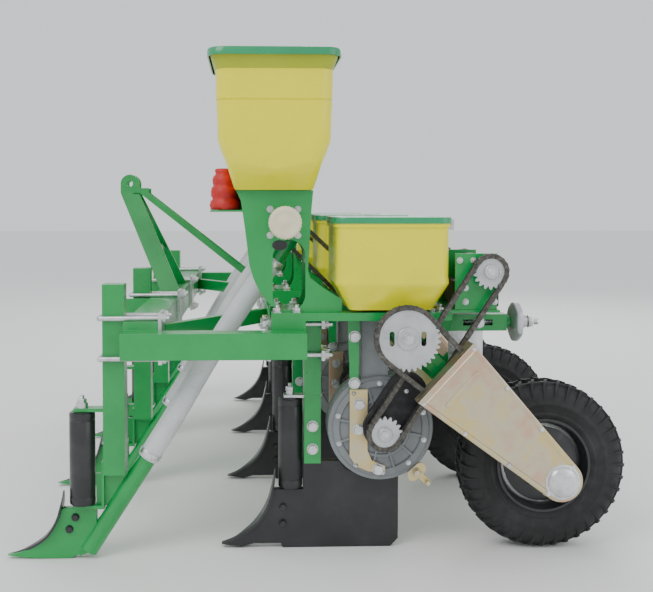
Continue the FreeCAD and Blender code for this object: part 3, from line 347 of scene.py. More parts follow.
def aimed(place, direction, spin=0.0):
    """A matrix that carries +Z at the origin to a direction at a place."""
    turn = Vector(direction).to_track_quat("Z", "Y").to_matrix().to_4x4()
    return Matrix.Translation(place) @ turn @ Matrix.Rotation(spin, 4, "Z")


def placed(mesh, place, plane=0.0):
    """A copy of a mesh moved to a place, and along Y to a plane measured from it."""
    copy = mesh.copy()
    copy.transform(Matrix.Translation((place.x, place.y + plane, place.z)))
    return copy


def bolt_circle(head, angles, radius, plane, centre=Vector(), spin=1):
    """Copies of a head round an axis along Y, all facing the near side."""
    heads = []
    for angle in angles:
        x, z = polar(radius, angle)
        heads.append((head, aimed(centre + Vector((x, plane, z)), TO_NEAR, angle * spin)))
    return heads


def carved(node, keep):
    """The faces of a CAD node whose centre passes a test, merged and cleaned, as a new mesh."""
    shape = bmesh.new()
    shape.from_mesh(frame["nodes"][node].data)
    unwanted = [face for face in shape.faces if not keep(face.calc_center_median())]
    bmesh.ops.delete(shape, geom=unwanted, context="FACES")
    bmesh.ops.remove_doubles(shape, verts=shape.verts, dist=MERGE_DISTANCE)
    bmesh.ops.dissolve_limit(shape, angle_limit=math.radians(1), verts=shape.verts, edges=shape.edges)
    return to_mesh(shape)


def dressed(node, body, material, bevel=0.0012, keep=lambda centre: True, name=None):
    """A CAD node's own faces with rounded edges, in its place."""
    shown(name or f"{node}_skin", carved(node, keep), body, material, (node,), bevel)


# ---------------------------------------------------------------- wheels and arms

TYRE_WIDTH = 0.1
TYRE_RADIUS = AXLE.z
TYRE_STEPS = 144
TREAD_BLOCKS = 40
MAIN_BORE, SMALL_BORE, FEED_BORE = 0.0125, 0.009, 0.01
CHAMFER = 0.0008


def tyre_mesh():
    """The carcass with ringed sidewalls, and staggered tread blocks that wrap over both shoulders."""
    side = [(0.106, 0.034), (0.113, 0.041), (0.12, 0.044), (0.123, 0.0462), (0.127, 0.0462),
            (0.129, 0.0448), (0.146, 0.0482), (0.148, 0.0494), (0.151, 0.0494), (0.153, 0.0484),
            (0.166, 0.0478), (0.178, 0.0448), (0.187, 0.039), (0.1925, 0.03), (0.1945, 0.015)]
    profile = [(radius, -place) for radius, place in side] + [(0.195, 0)] + side[::-1]
    parts = [turned(profile, steps=TYRE_STEPS)]
    for side_sign in (1, -1):
        for step in range(TREAD_BLOCKS):
            angle = (step + (0.5 if side_sign < 0 else 0)) * math.tau / TREAD_BLOCKS
            parts.append(tread_block(angle, side_sign))
    for place in (-0.0235, 0.0235):
        ring = [(0.1925, place - 0.004), (0.1992, place - 0.003),
                (0.1992, place + 0.003), (0.1925, place + 0.004)]
        parts.append(turned(ring, steps=TYRE_STEPS))
    return gathered(parts)


def tread_block(angle, side):
    """One block, through stations of (share of the half width, top radius, foot radius, width)."""
    stations = [(0.05, TYRE_RADIUS, 0.191, 0.04), (0.4, TYRE_RADIUS - 0.0008, 0.19, 0.044),
                (0.72, 0.1985, 0.184, 0.04), (0.9, 0.188, 0.172, 0.03), (0.97, 0.174, 0.16, 0.022)]
    loops = []
    for share, top, foot, width in stations:
        skew = angle + share * 0.1
        reach = width * math.tau / TREAD_BLOCKS * 3.2
        loop = []
        for radius, edge in ((foot, -1.1), (top, -0.85), (top, 0.85), (foot, 1.1)):
            x, z = polar(radius, skew + edge * reach)
            loop.append((x, side * share * TYRE_WIDTH / 2, z))
        loops.append(loop)
    return skin(loops, BOTH_ENDS)


def rim_mesh():
    """The rolled barrel, the dished web with its bolts, and the hub."""
    half = 0.043
    barrel = [(0.107, -half), (0.1135, -half), (0.1135, -half + 0.004), (0.108, -half + 0.01),
              (0.104, -half + 0.02), (0.094, -0.012), (0.094, 0.012), (0.104, half - 0.02),
              (0.108, half - 0.01), (0.1135, half - 0.004), (0.1135, half), (0.107, half),
              (0.103, half - 0.008), (0.09, 0.01), (0.09, -0.01), (0.103, -half + 0.008), (0.107, -half)]
    web = [(0.0905, -0.022), (0.075, -0.026), (0.06, -0.03), (0.045, -0.031), (0.0305, -0.031),
           (0.0305, -0.026), (0.058, -0.024), (0.075, -0.02), (0.0905, -0.016)]
    hub = [(0.0127, -0.062), (0.026, -0.062), (0.03, -0.058),
           (0.03, 0.058), (0.026, 0.062), (0.0127, 0.062)]
    angles = [step * math.tau / 5 + 0.3 for step in range(5)]
    return gathered([turned(profile, steps=72) for profile in (barrel, web, hub)] +
                    bolt_circle(hexagon_head(0.014, 0.008, tip=0.006), angles, 0.052, -0.031))


def wheels():
    tyre, rim, sprocket = tyre_mesh(), rim_mesh(), sprocket_mesh(16, MAIN_BORE)
    bar = [(0, -0.168), (0.0115, -0.168), (0.0125, -0.166), (0.0125, 0.09), (0.0115, 0.0915), (0, 0.0915)]
    nut = hexagon_head(0.03, 0.01)
    for row in ROWS:
        centre, body = pivot(f"wheel_spin_{row}"), f"wheel_{row}"
        axle = gathered([turned(bar, place=centre, steps=40),
                         (nut, aimed(centre + Vector((0, 0.079, 0)), TO_FAR))])
        for name, mesh, finish, edge in (
                ("tyre", placed(tyre, centre), "tyre_rubber", 0),
                ("rim", placed(rim, centre), "rim_paint", 0.0008),
                ("axle", axle, "bright_zinc", 0.0004),
                ("axle_sprocket", placed(sprocket, centre, WHEEL_CHAIN_PLANE), "cast_face", 0)):
            shown(f"{name}_{row}", mesh, body, finish, (body,), edge)


def sprocket_mesh(teeth, bore, hub=(), windows=()):
    """A toothed roller-chain wheel in the X-Z plane, with windows, and a hub each side if given."""
    pitch = pitch_radius(teeth)
    outline = []
    for tooth in range(teeth):
        for share, reach in ((0.0, -0.0038), (0.14, -0.003), (0.27, 0.0006), (0.4, 0.0036), (0.5, 0.0043),
                             (0.6, 0.0036), (0.73, 0.0006), (0.86, -0.003)):
            outline.append(polar(pitch + reach, (tooth + share) * math.tau / teeth))
    parts = [flat([outline, circle(bore, 40), *windows], 0.007, 0.0007)]
    for side, radius in hub:
        deep = abs(side)
        ring = [(bore, 0), (radius, 0), (radius, deep - 0.0015), (radius - 0.0015, deep), (bore, deep)]
        parts.append((turned(ring, "Z", steps=40), aimed((0, 0, 0), (0, math.copysign(1, side), 0))))
    return gathered(parts)


def link_meshes():
    """An inner and an outer pair of chain side plates with their rollers and pin heads, along +X."""
    half = CHAIN_PITCH / 2
    waist = []
    for side, begin in ((1, -0.62), (-1, 0.38)):
        for step in range(9):
            x, z = polar(0.0056, (begin + step * 0.155) * math.pi)
            waist.append((side * half + x, z))
    plate = flat([waist], 0.0016, 0.0003)
    roller = turned([(0.0022, -0.004), (0.0041, -0.004), (0.0041, 0.004), (0.0022, 0.004)], steps=14)
    head = turned([(0, 0.0078), (0.0024, 0.0078), (0.0024, 0.0062), (0.0026, 0.0062)], steps=12)
    places = [Matrix.Translation((side * half, 0, 0)) for side in (1, -1)]
    inner, outer = [[(plate, Matrix.Translation((0, offset, 0))) for offset in (-reach, reach)]
                    for reach in (0.0046, 0.0063)]
    inner += [(roller, place) for place in places]
    outer += [(head, place @ flip) for place in places
              for flip in (Matrix(), Matrix.Rotation(math.pi, 4, "Z"))]
    return gathered(inner), gathered(outer)


def belt_path(first, second, radius_a, radius_b):
    """A function of distance round an open belt, giving place and direction, and its length."""
    a, b = Vector((first[0], first[1])), Vector((second[0], second[1]))
    gap = (b - a).length
    along = (b - a) / gap
    across = Vector((-along.y, along.x))
    lean = (radius_a - radius_b) / gap
    run = gap * math.sqrt(1 - lean * lean)
    tilt = math.asin(lean)
    wrap_b = math.pi - 2 * tilt
    wrap_a = math.tau - wrap_b
    lengths = (run, wrap_b * radius_b, run, wrap_a * radius_a)

    def spot(centre, radius, angle):
        direction = along * math.cos(angle) + across * math.sin(angle)
        return centre + direction * radius, Vector((direction.y, -direction.x))

    top = math.pi / 2 - tilt

    def at(distance):
        distance %= sum(lengths)
        if distance < lengths[0]:
            start, heading = spot(a, radius_a, top)
            return start + heading * distance, heading
        distance -= lengths[0]
        if distance < lengths[1]:
            return spot(b, radius_b, top - distance / radius_b)
        distance -= lengths[1]
        if distance < lengths[2]:
            start, heading = spot(b, radius_b, -top)
            return start + heading * distance, heading
        distance -= lengths[2]
        return spot(a, radius_a, -top - distance / radius_a)

    return at, sum(lengths)


INNER_LINK, OUTER_LINK = link_meshes()


def roller_chain(first, second, teeth_a, teeth_b, plane):
    """Links laid end to end round two sprockets, in an X-Z plane at a given Y."""
    at, length = belt_path(first, second, pitch_radius(teeth_a), pitch_radius(teeth_b))
    count = 2 * round(length / CHAIN_PITCH / 2)
    step = length / count
    parts = []
    for link in range(count):
        (start, _), (end, _) = at(link * step), at((link + 1) * step)
        middle, heading = (start + end) / 2, (end - start).normalized()
        turn = Matrix.Rotation(-math.atan2(heading.y, heading.x), 4, "Y")
        parts.append((OUTER_LINK if link % 2 else INNER_LINK,
                      Matrix.Translation((middle.x, plane, middle.y)) @ turn))
    return gathered(parts)


CASE_NEAR, CASE_BACK = -0.175, -0.129
CASE_START, CASE_WIDE, CASE_ROUND = 0.111, 0.095, 0.048
WHEEL_CHAIN_PLANE, METER_CHAIN_PLANE, GEARBOX_CHAIN_PLANE, FEED_CHAIN_PLANE = -0.15, -0.121, 0.14, 0.165


def case_outline(inset, start=0.0, steps=18):
    """The tapered case seen from the side, inset by a margin, in the arm's own X-Z plane."""
    wide = CASE_WIDE - inset
    lean = math.asin((CASE_WIDE - CASE_ROUND) / (ARM_LENGTH - CASE_START))
    points = []
    for step in range(steps + 1):
        x, z = polar(CASE_ROUND - inset, math.pi / 2 - lean - (math.pi - 2 * lean) * step / steps)
        points.append((ARM_LENGTH + x, z))
    begin = CASE_START + start
    return [(begin, wide - 0.004), *points, (begin, 0.004 - wide)]


def arm_space(row):
    """From the arm's own frame, X along the arm from the drive shaft, to the machine's."""
    return Matrix.Translation((DRIVE.x, ROW_Y[row], DRIVE.z)) @ Matrix.Rotation(ARM_DROP, 4, "Y")


def case_mesh():
    """The pressed cover: side wall, rounded face, stepped inner panel, rolled lip and one raised rib."""
    layers = [(0.0, 0.0, CASE_BACK), (0.0, 0.0, CASE_NEAR + 0.004), (0.0012, 0.0, CASE_NEAR + 0.0012),
              (0.004, 0.002, CASE_NEAR), (0.012, 0.012, CASE_NEAR), (0.014, 0.014, CASE_NEAR - 0.0022),
              (0.03, 0.03, CASE_NEAR - 0.0024)]

    def ring(inset, start, depth, part=slice(None)):
        return [(x, depth, z) for x, z in case_outline(inset, start)[part]]

    border = slice(1, -1)
    inner = [ring(0.002, -0.001, depth) for depth in (CASE_BACK, CASE_NEAR + 0.003)]
    lip = [ring(inset, 0.006, CASE_BACK + raised, border)
           for inset, raised in ((0.001, 0), (-0.004, 0), (-0.004, 0.0016), (0.001, 0.0016))]
    rib = flat([capsule(0.048, 0.0036, (CASE_START + 0.052, 0), math.pi / 2)], 0.006, 0.002)
    return gathered([skin([ring(*layer) for layer in layers], LAST_END), skin(inner),
                     skin(lip, closed=False), (rib, Matrix.Translation((0, CASE_NEAR - 0.003, 0)))])


def case_screws():
    """Screws at the two open corners and along both straight edges."""
    screw = hexagon_head(0.0085, 0.0045)
    border = case_outline(0.0075, 0.01)
    places = [border[0], border[-1]]
    for share in (0.32, 0.66, 0.97):
        for start, end in ((border[0], border[1]), (border[-1], border[-2])):
            places.append(tuple(a + (b - a) * share for a, b in zip(start, end)))
    return gathered([(screw, aimed((x, CASE_NEAR, z), TO_NEAR, x * 40)) for x, z in places])


def dome_mesh():
    """The domed cap over the wheel's axle."""
    reach, foot = 0.018, 0.005
    profile = [(0.04, 0.0), (0.04, 0.0035), (0.0375, foot)]
    for step in range(7):
        x, z = math.cos(step * math.pi / 14), math.sin(step * math.pi / 14)
        profile.append((0.035 * x, foot + (reach - foot) * z))
    cap = turned([*profile, (0, reach)], "Z", steps=56)
    return gathered([(cap, aimed((ARM_LENGTH, CASE_NEAR, 0), TO_NEAR))])


def wheel_arms():
    pieces = (("case", case_mesh(), "zinc_yellow"), ("screws", case_screws(), "bright_zinc"),
              ("dome", dome_mesh(), "bright_zinc"),
              ("links", roller_chain((0, 0), (ARM_LENGTH, 0), 35, 16, WHEEL_CHAIN_PLANE), "chain_steel"))
    for row in ROWS:
        node = f"wheel_arm_{row}"
        dressed(node, node, "green_paint", keep=lambda centre, edge=ROW_Y[row] - 0.128: centre.y > edge,
                name=f"arm_{row}")
        for name, mesh, finish in pieces:
            piece = mesh.copy()
            piece.transform(arm_space(row))
            shown(f"{name}_{row}", piece, node, finish, (node,))


def shaft_piece(name, body, axis_place, radius, span, extra=()):
    """A round shaft along Y with chamfered ends, and other bright parts on it."""
    near, far = span
    slim = radius - CHAMFER
    bar = turned([(0, near), (slim, near), (radius, near + CHAMFER), (radius, far - CHAMFER),
                  (slim, far), (0, far)], place=axis_place, steps=40)
    shown(name, gathered([bar, *extra]), body, "bright_zinc", (body,))


def shafts():
    """The drive, gearbox, meter and feeder shafts of every row, with what turns on them."""
    windows = [capsule(0.011, 0.0065, (0.036 * side, 0), math.pi / 2) for side in (1, -1)]
    big = sprocket_mesh(35, MAIN_BORE, ((-0.009, 0.026), (0.01, 0.024)), windows)
    small = sprocket_mesh(18, SMALL_BORE, ((-0.013, 0.0165), (0.012, 0.0165)))
    wide = sprocket_mesh(18, MAIN_BORE, ((-0.01, 0.0205), (0.01, 0.0205)))
    feeder = sprocket_mesh(15, FEED_BORE, ((-0.01, 0.0175), (0.01, 0.0175)))
    key = hexagon_head(0.019, 0.008, tip=0.004)
    grub = hexagon_head(0.007, 0.004)

    def sprockets(row, body, centre, *wanted):
        for name, mesh, plane in wanted:
            shown(f"{name}_{row}", placed(mesh, centre, plane), body, "cast_face", (body,))

    for row in ROWS:
        centre, body = pivot(f"drive_spin_{row}"), f"drive_shaft_{row}"
        near = -0.164
        shaft_piece(f"drive_bar_{row}", body, centre, MAIN_BORE, (near, 0.179),
                    [(key, aimed(centre + Vector((0, near, 0)), TO_NEAR))])
        sprockets(row, body, centre, ("drive_big", big, WHEEL_CHAIN_PLANE),
                  ("drive_gearbox_side", wide, GEARBOX_CHAIN_PLANE),
                  ("drive_feeder_side", wide, FEED_CHAIN_PLANE))
        centre, body = pivot(f"gearbox_spin_{row}"), f"gearbox_shaft_{row}"
        shaft_piece(f"gearbox_bar_{row}", body, centre, SMALL_BORE, (-0.135, 0.154),
                    [(grub, aimed(centre + Vector((0.0165, METER_CHAIN_PLANE - 0.009, 0)), TO_REAR))])
        sprockets(row, body, centre, ("gearbox_meter_side", small, METER_CHAIN_PLANE),
                  ("gearbox_drive_side", small, GEARBOX_CHAIN_PLANE))
        centre, body = pivot(f"meter_spin_{row}"), f"meter_rotor_{row}"
        near = -0.133
        shaft_piece(f"meter_bar_{row}", body, centre, SMALL_BORE, (near, 0.028),
                    [(key, aimed(centre + Vector((0, near, 0)), TO_NEAR))])
        disc = turned([(0.009, -0.005), (0.105, -0.005), (0.105, 0.005), (0.009, 0.005)],
                      place=centre + Vector((0, -0.02, 0)))
        shown(f"meter_disc_{row}", disc, body, "grey_plastic", (body,), 0.0005)
        sprockets(row, body, centre, ("meter_sprocket", small, METER_CHAIN_PLANE))
        feed_shaft(row, feeder)


def feed_shaft(row, sprocket):
    """The feeder's shaft, its fluted roller, and the cream hand knob with its grip flutes."""
    centre, body = pivot(f"feed_spin_{row}"), f"feed_shaft_{row}"
    shaft_piece(f"feed_bar_{row}", body, centre, FEED_BORE, (-0.154, 0.179))
    shown(f"feed_sprocket_{row}", placed(sprocket, centre, FEED_CHAIN_PLANE), body, "cast_face", (body,))
    flutes, grips = 12, 28
    outline = [polar(0.0302 - 0.004 * (step % 2), step * math.pi / flutes) for step in range(2 * flutes)]
    roller = flat([outline], 0.098, 0.001)
    shown(f"feed_roller_{row}", placed(roller, centre), body, "grey_plastic", (body,))
    profile = ((0.0335, 0.0, 0), (0.0368, 0.0015, 0), (0.0378, 0.004, 0.0012), (0.038, 0.012, 0.0016),
               (0.0378, 0.019, 0.0014), (0.0362, 0.0225, 0.0004), (0.033, 0.0245, 0), (0.026, 0.025, 0),
               (0.0245, 0.0238, 0), (0.012, 0.0238, 0), (0.0105, 0.0248, 0), (0.001, 0.025, 0))
    knob = skin([[(*polar(radius - flute * (step % 2), step * math.pi / grips), height)
                  for step in range(2 * grips)] for radius, height, flute in profile], BOTH_ENDS)
    knob.transform(aimed(centre + Vector((0, -0.135, 0)), TO_NEAR))
    shown(f"knob_{row}", knob, body, "cream_plastic", (body,), sharp=50)


# ---------------------------------------------------------------- meter, gearbox and screw

def meter_mesh():
    """The round meter housing: stepped rim, dished face, bearing boss and cast ribs."""
    near, far, radius = -0.06, 0.02, 0.125
    face = [(0.0095, near - 0.016), (0.022, near - 0.016), (0.0245, near - 0.0135), (0.026, near),
            (0.034, near), (0.036, near + 0.003), (0.062, near + 0.003), (0.064, near - 0.0005),
            (0.07, near - 0.0005), (0.072, near + 0.004), (0.096, near + 0.004), (0.099, near - 0.001),
            (0.113, near - 0.001), (0.115, near + 0.004), (0.123, near + 0.004), (radius, near + 0.006),
            (radius, near + 0.03), (0.121, near + 0.032), (0.121, near + 0.036), (radius, near + 0.038),
            (radius, far - 0.004), (0.122, far), (0.04, far), (0.037, far + 0.006), (0.0095, far + 0.006)]
    parts = [turned(face, place=METER_HOME, steps=120)]
    rib = flat([[(0.036, -0.0018), (0.098, -0.0018), (0.098, 0.0018), (0.036, 0.0018)]], 0.007, 0.0008)
    centre = Matrix.Translation(METER_HOME + Vector((0, near + 0.002, 0)))
    for step in range(12):
        parts.append((rib, centre @ Matrix.Rotation(step * math.tau / 12 + 0.2, 4, "Y")))
    return gathered(parts)


METER_HOME = Vector((METER.x, 0, METER.z))


def meter_bolts():
    angles = [step * math.tau / 10 + 0.35 for step in range(10)]
    rim = bolt_circle(hexagon_head(0.01, 0.005, tip=0.002), angles, 0.106, -0.061, METER_HOME)
    hub = bolt_circle(hexagon_head(0.007, 0.004), (0.6, 2.7, 4.8), 0.03, -0.06, METER_HOME, spin=0)
    return gathered(rim + hub)


def chain_guard():
    """The darker oblong tray on the meter's face, in line with the chain to the gearbox."""
    tilt = math.atan2(GEARBOX.z - METER.z, GEARBOX.x - METER.x)
    outer, inner = [capsule(0.052, radius, (0.03, 0.046), tilt) for radius in (0.046, 0.039)]
    wall, floor = flat([outer, inner], 0.02, 0.0008), flat([outer], 0.003, 0.0008)
    return gathered([placed(wall, METER_HOME, -0.071), placed(floor, METER_HOME, -0.0625)])


def row_copies(*pieces, rows=ROWS):
    """Copies of (name, mesh, finish, replaced nodes, bevel, sharp angle) on the root body at each row."""
    for row in rows:
        for name, mesh, finish, nodes, *edges in pieces:
            shown(f"{name}_{row}", placed(mesh, Vector((0, ROW_Y[row], 0))), "root", finish, nodes, *edges)


def housings():
    node = "meter_and_gearbox_housings"
    row_copies(("meter_shell", meter_mesh(), "grey_plastic", (node,), 0, 30),
               ("meter_bolts", meter_bolts(), "bright_zinc", (node,)),
               ("meter_guard", chain_guard(), "dark_iron", (node,)),
               ("gearbox_trim", gearbox_trim(), "bright_zinc", (node,)))
    gear_edge, neck_floor = 0.3, METER.z + 0.118
    dressed(node, "root", "dark_iron", 0.003, lambda centre: centre.x > gear_edge, "gearbox_shell")
    dressed(node, "root", "grey_plastic", 0.002,
            lambda centre: centre.x < gear_edge and centre.z > neck_floor, "meter_neck")


def gearbox_trim():
    """Bolts on the gearbox's near end, and its bearing boss."""
    near = -0.0965
    head = hexagon_head(0.012, 0.007, tip=0.004)
    parts = [(head, aimed((x, near, z), TO_NEAR, x * 90))
             for x, z in ((0.33, 0.604), (0.398, 0.604), (0.33, 0.636), (0.348, 0.7), (0.316, 0.7))]
    boss = [(0.0095, 0), (0.024, 0), (0.024, 0.004), (0.019, 0.006), (0.0095, 0.006)]
    parts.append((turned(boss, "Z", steps=40), aimed((GEARBOX.x, near, GEARBOX.z), TO_NEAR)))
    return gathered(parts)


def depth_screws():
    """The lobed steel handwheel, its cone hub and hex end, and the threaded rod."""
    lobes, steps = 6, 96

    def rim(radius, depth):
        points = []
        for step in range(steps):
            angle = step * math.tau / steps
            reach = radius * (1 - 0.055 * (1 + math.cos(lobes * angle)) / 2)
            points.append((*polar(reach, angle), depth))
        return points

    profile = ((0.0095, 0.0), (0.03, 0.0), (0.04, 0.004), (0.0465, 0.006), (0.048, 0.01), (0.048, 0.017),
               (0.0455, 0.0215), (0.038, 0.021), (0.032, 0.015), (0.022, 0.014), (0.019, 0.02),
               (0.016, 0.034), (0.0135, 0.04), (0.0085, 0.041))
    wheel_mesh = skin([rim(*point) for point in profile], BOTH_ENDS)
    pitch, length = 0.004, 0.211
    thread = [(0, 0.0)]
    for step in range(int(length / pitch)):
        thread += [(0.0068, step * pitch), (0.008, step * pitch + pitch / 2)]
    thread += [(0.0068, length), (0, length)]
    rod_mesh = turned(thread, "Z", steps=24)
    nut = hexagon_head(0.024, 0.012)
    for row in ROWS:
        place, body = pivot(f"screw_turn_{row}"), f"depth_handwheel_{row}"
        start = Vector((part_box(body)[0][0], place.y, place.z))
        face = Vector((0.461, place.y, place.z))
        shown(f"handwheel_{row}", gathered([(wheel_mesh, aimed(face, TO_REAR))]), body, "cast_face", (body,),
              sharp=45)
        screw = gathered([(rod_mesh, aimed(start, TO_REAR)),
                          (nut, aimed(face + Vector((0.044, 0, 0)), TO_REAR))])
        shown(f"screw_{row}", screw, body, "bright_zinc", (body,))
        slider = f"depth_slider_{row}"
        dressed(slider, slider, "bright_zinc", 0.001)


def rollers():
    """The straw rollers: a rolled tube with end caps and weld beads."""
    for row in ROWS:
        for side in ("front", "rear"):
            node = f"{side}_roller_{row}"
            low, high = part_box(node)
            radius, height = (high[0] - low[0]) / 2, high[2] - low[2]
            foot = [(0.0073, 0), (radius - 0.004, 0), (radius - 0.004, 0.002), (radius - 0.0005, 0.003),
                    (radius, 0.005), (radius, 0.018), (radius - 0.0008, 0.0195), (radius, 0.021)]
            profile = foot + [(reach, height - level) for reach, level in reversed(foot)]
            centre = ((low[0] + high[0]) / 2, (low[1] + high[1]) / 2, low[2])
            shown(f"{side}_straw_roller_{row}", turned(profile, "Z", centre, 56), node,
                  "black_paint", (node,))


# ---------------------------------------------------------------- hoppers and boxes

def rounded(x_low, x_high, half_y, corner, height, side_steps):
    """A level rounded rectangle."""
    corner_steps = 6
    corners = ((x_high - corner, half_y - corner), (x_low + corner, half_y - corner),
               (x_low + corner, corner - half_y), (x_high - corner, corner - half_y))
    arcs = []
    for quarter, (x, y) in enumerate(corners):
        arcs.append([])
        for step in range(corner_steps + 1):
            across, along = polar(corner, (quarter + step / corner_steps) * math.pi / 2)
            arcs[-1].append((x + across, y + along))
    points = []
    for number, arc in enumerate(arcs):
        points += arc
        (x, y), following = arc[-1], arcs[(number + 1) % 4][0]
        for step in range(1, side_steps):
            share = step / side_steps
            points.append((x + (following[0] - x) * share, y + (following[1] - y) * share))
    return [(x, y, height) for x, y in points]


def stacked(level, rows, ends=NO_ENDS):
    """A skin over levels of (height, inset, corner), or (height, inset in X, inset in Y, corner)."""
    return skin([level(row[0], row[1], row[-2], row[-1]) for row in rows], ends)


HOPPER_X, HOPPER_HALF_X, HOPPER_HALF_Y = -0.1135, 0.132, 0.158


def hopper_level(height, narrower, shallower, corner, droop=0):
    """A level round the hopper, let down in the middle of its long sides by a share of the droop."""
    ring = rounded(HOPPER_X - HOPPER_HALF_X + narrower, HOPPER_X + HOPPER_HALF_X - narrower,
                   HOPPER_HALF_Y - shallower, corner, height, side_steps=7)
    return [(x, y, z - 0.016 * math.exp(-((x - HOPPER_X) / 0.062) ** 2) * min(1.0, abs(y) / 0.1) * droop)
            for x, y, z in ring]


def hopper_mesh():
    """The blow-moulded fertiliser hopper, outside and in, with its belt groove and drooping lower band."""
    wall = 0.004
    outside = [(0.8625, 0.044, 0.064, 0.02, 0), (0.8665, 0.04, 0.06, 0.022, 0),
               (0.9, 0.03, 0.03, 0.026, 0.6), (0.922, 0.024, 0.014, 0.028, 1),
               (0.928, 0.0215, 0.0115, 0.03, 1), (0.95, 0.012, 0.007, 0.032, 0.5),
               (0.974, 0.0045, 0.004, 0.033, 0), (1.02, 0.003, 0.003, 0.034, 0),
               (1.059, 0.0012, 0.0016, 0.034, 0), (1.0602, 0.0036, 0.004, 0.033, 0),
               (1.0632, 0.0036, 0.004, 0.033, 0), (1.0645, 0.001, 0.0014, 0.034, 0),
               (1.1, 0.0004, 0.0007, 0.034, 0), (1.132, 0.0, 0.0, 0.034, 0)]
    inside = [(height, narrower + wall, shallower + wall, *rest)
              for height, narrower, shallower, *rest in reversed(outside)]
    inside[-1] = (0.8665, 0.046, 0.066, 0.018, 0)
    return skin([hopper_level(*level) for level in outside + inside], LAST_END)


def hopper_band():
    """The olive flared band under the lid, with its rolled rim."""
    return stacked(hopper_level, [
        (1.13, 0.004, 0.032), (1.13, -0.0006, 0.034), (1.136, -0.0016, 0.035), (1.158, -0.0105, 0.038),
        (1.166, -0.0118, 0.038), (1.17, -0.0112, 0.038), (1.1704, -0.009, 0.036),
        (1.16, -0.0075, 0.036), (1.13, 0.004, 0.032)])


def hopper_lid_mesh():
    """The hopper lid: crowned top, stepped border and a rolled skirt."""
    return stacked(hopper_level, [
        (1.1705, -0.0142, 0.038), (1.158, -0.0152, 0.039), (1.158, -0.018, 0.04),
        (1.1715, -0.018, 0.04), (1.175, -0.016, 0.039), (1.176, -0.012, 0.037), (1.176, 0.01, 0.03),
        (1.1735, 0.016, 0.028), (1.1735, 0.03, 0.022), (1.1752, 0.04, 0.02),
        (1.1758, 0.08, 0.1, 0.012)], BOTH_ENDS)


def bell_mesh():
    """The red rubber bell in front of the tower: stepped skirts, a waist and a folded top."""
    foot = 0.8165
    profile = [(0.0, foot), (0.034, foot), (0.0365, 0.8185), (0.0372, 0.828), (0.035, 0.837),
               (0.031, 0.842), (0.03, 0.845), (0.0325, 0.85), (0.033, 0.86), (0.0305, 0.868),
               (0.0262, 0.8725), (0.0252, 0.875), (0.027, 0.88), (0.0272, 0.888), (0.024, 0.896),
               (0.02, 0.9), (0.019, 0.903), (0.02, 0.907), (0.0195, 0.912), (0.015, 0.9148),
               (0.0, 0.915)]
    mesh = turned(profile, "Z", steps=48)
    for vertex in mesh.vertices:
        lean = (vertex.co.z - foot) / 0.1
        ripple = 1 + 0.035 * math.sin(7 * math.atan2(vertex.co.y, vertex.co.x) + 30 * lean)
        vertex.co.x = vertex.co.x * ripple - 0.2265 - 0.006 * lean
        vertex.co.y *= ripple
    return mesh


SEED_X, SEED_HALF_X, SEED_HALF_Y = 0.1585, 0.1315, 0.125


def seed_level(height, narrower, shallower, corner):
    return rounded(SEED_X - SEED_HALF_X + narrower, SEED_X + SEED_HALF_X - narrower,
                   SEED_HALF_Y - shallower, corner, height, side_steps=14)


def dimpled(mesh):
    """Presses the two round dimples into the seed box's long sides."""
    for vertex in mesh.vertices:
        x, y, z = vertex.co
        for centre in (0.118, 0.216):
            reach = math.hypot(x - centre, (z - 0.64) * 0.9) / 0.03
            if reach < 1 and abs(y) > 0.07:
                vertex.co.y -= math.copysign(0.006 * (1 - reach * reach) ** 0.5, y)
    return mesh


def seed_box_mesh():
    """The seed box, outside and in: a bevelled floor, plain walls and a rolled rim."""
    wall = 0.0045
    outside = [(0.5855, 0.034, 0.026, 0.018), (0.588, 0.0325, 0.025, 0.02)]
    for step in range(1, 9):
        share = step / 8
        outside.append((0.588 + 0.059 * share, 0.0325 * (1 - share), 0.025 * (1 - share),
                        0.02 + 0.006 * share))
    outside += [(0.6505, -0.0002, 0.0, 0.027), (0.664, 0.0014, 0.0016, 0.027)]
    outside += [(0.664 + 0.012 * step, 0.0012, 0.0014, 0.027) for step in range(1, 10)]
    outside += [(0.776, 0.001, 0.001, 0.027), (0.777, -0.0022, -0.0022, 0.029),
                (0.785, -0.0026, -0.0026, 0.029), (0.7955, -0.002, -0.002, 0.029)]
    inside = [(height, narrow + wall, shallow + wall, corner)
              for height, narrow, shallow, corner in reversed(outside)]
    return dimpled(stacked(seed_level, outside + inside, LAST_END))


def seed_lid_mesh():
    """The seed box lid: the same crowned shape, smaller."""
    return stacked(seed_level, [
        (0.796, -0.0026, 0.029), (0.7856, -0.003, 0.029), (0.7856, -0.005, 0.031),
        (0.7965, -0.005, 0.031), (0.8, -0.0035, 0.03), (0.8008, -0.001, 0.028), (0.8008, 0.012, 0.022),
        (0.799, 0.017, 0.019), (0.799, 0.03, 0.015), (0.8004, 0.038, 0.012),
        (0.8008, 0.08, 0.008)], BOTH_ENDS)


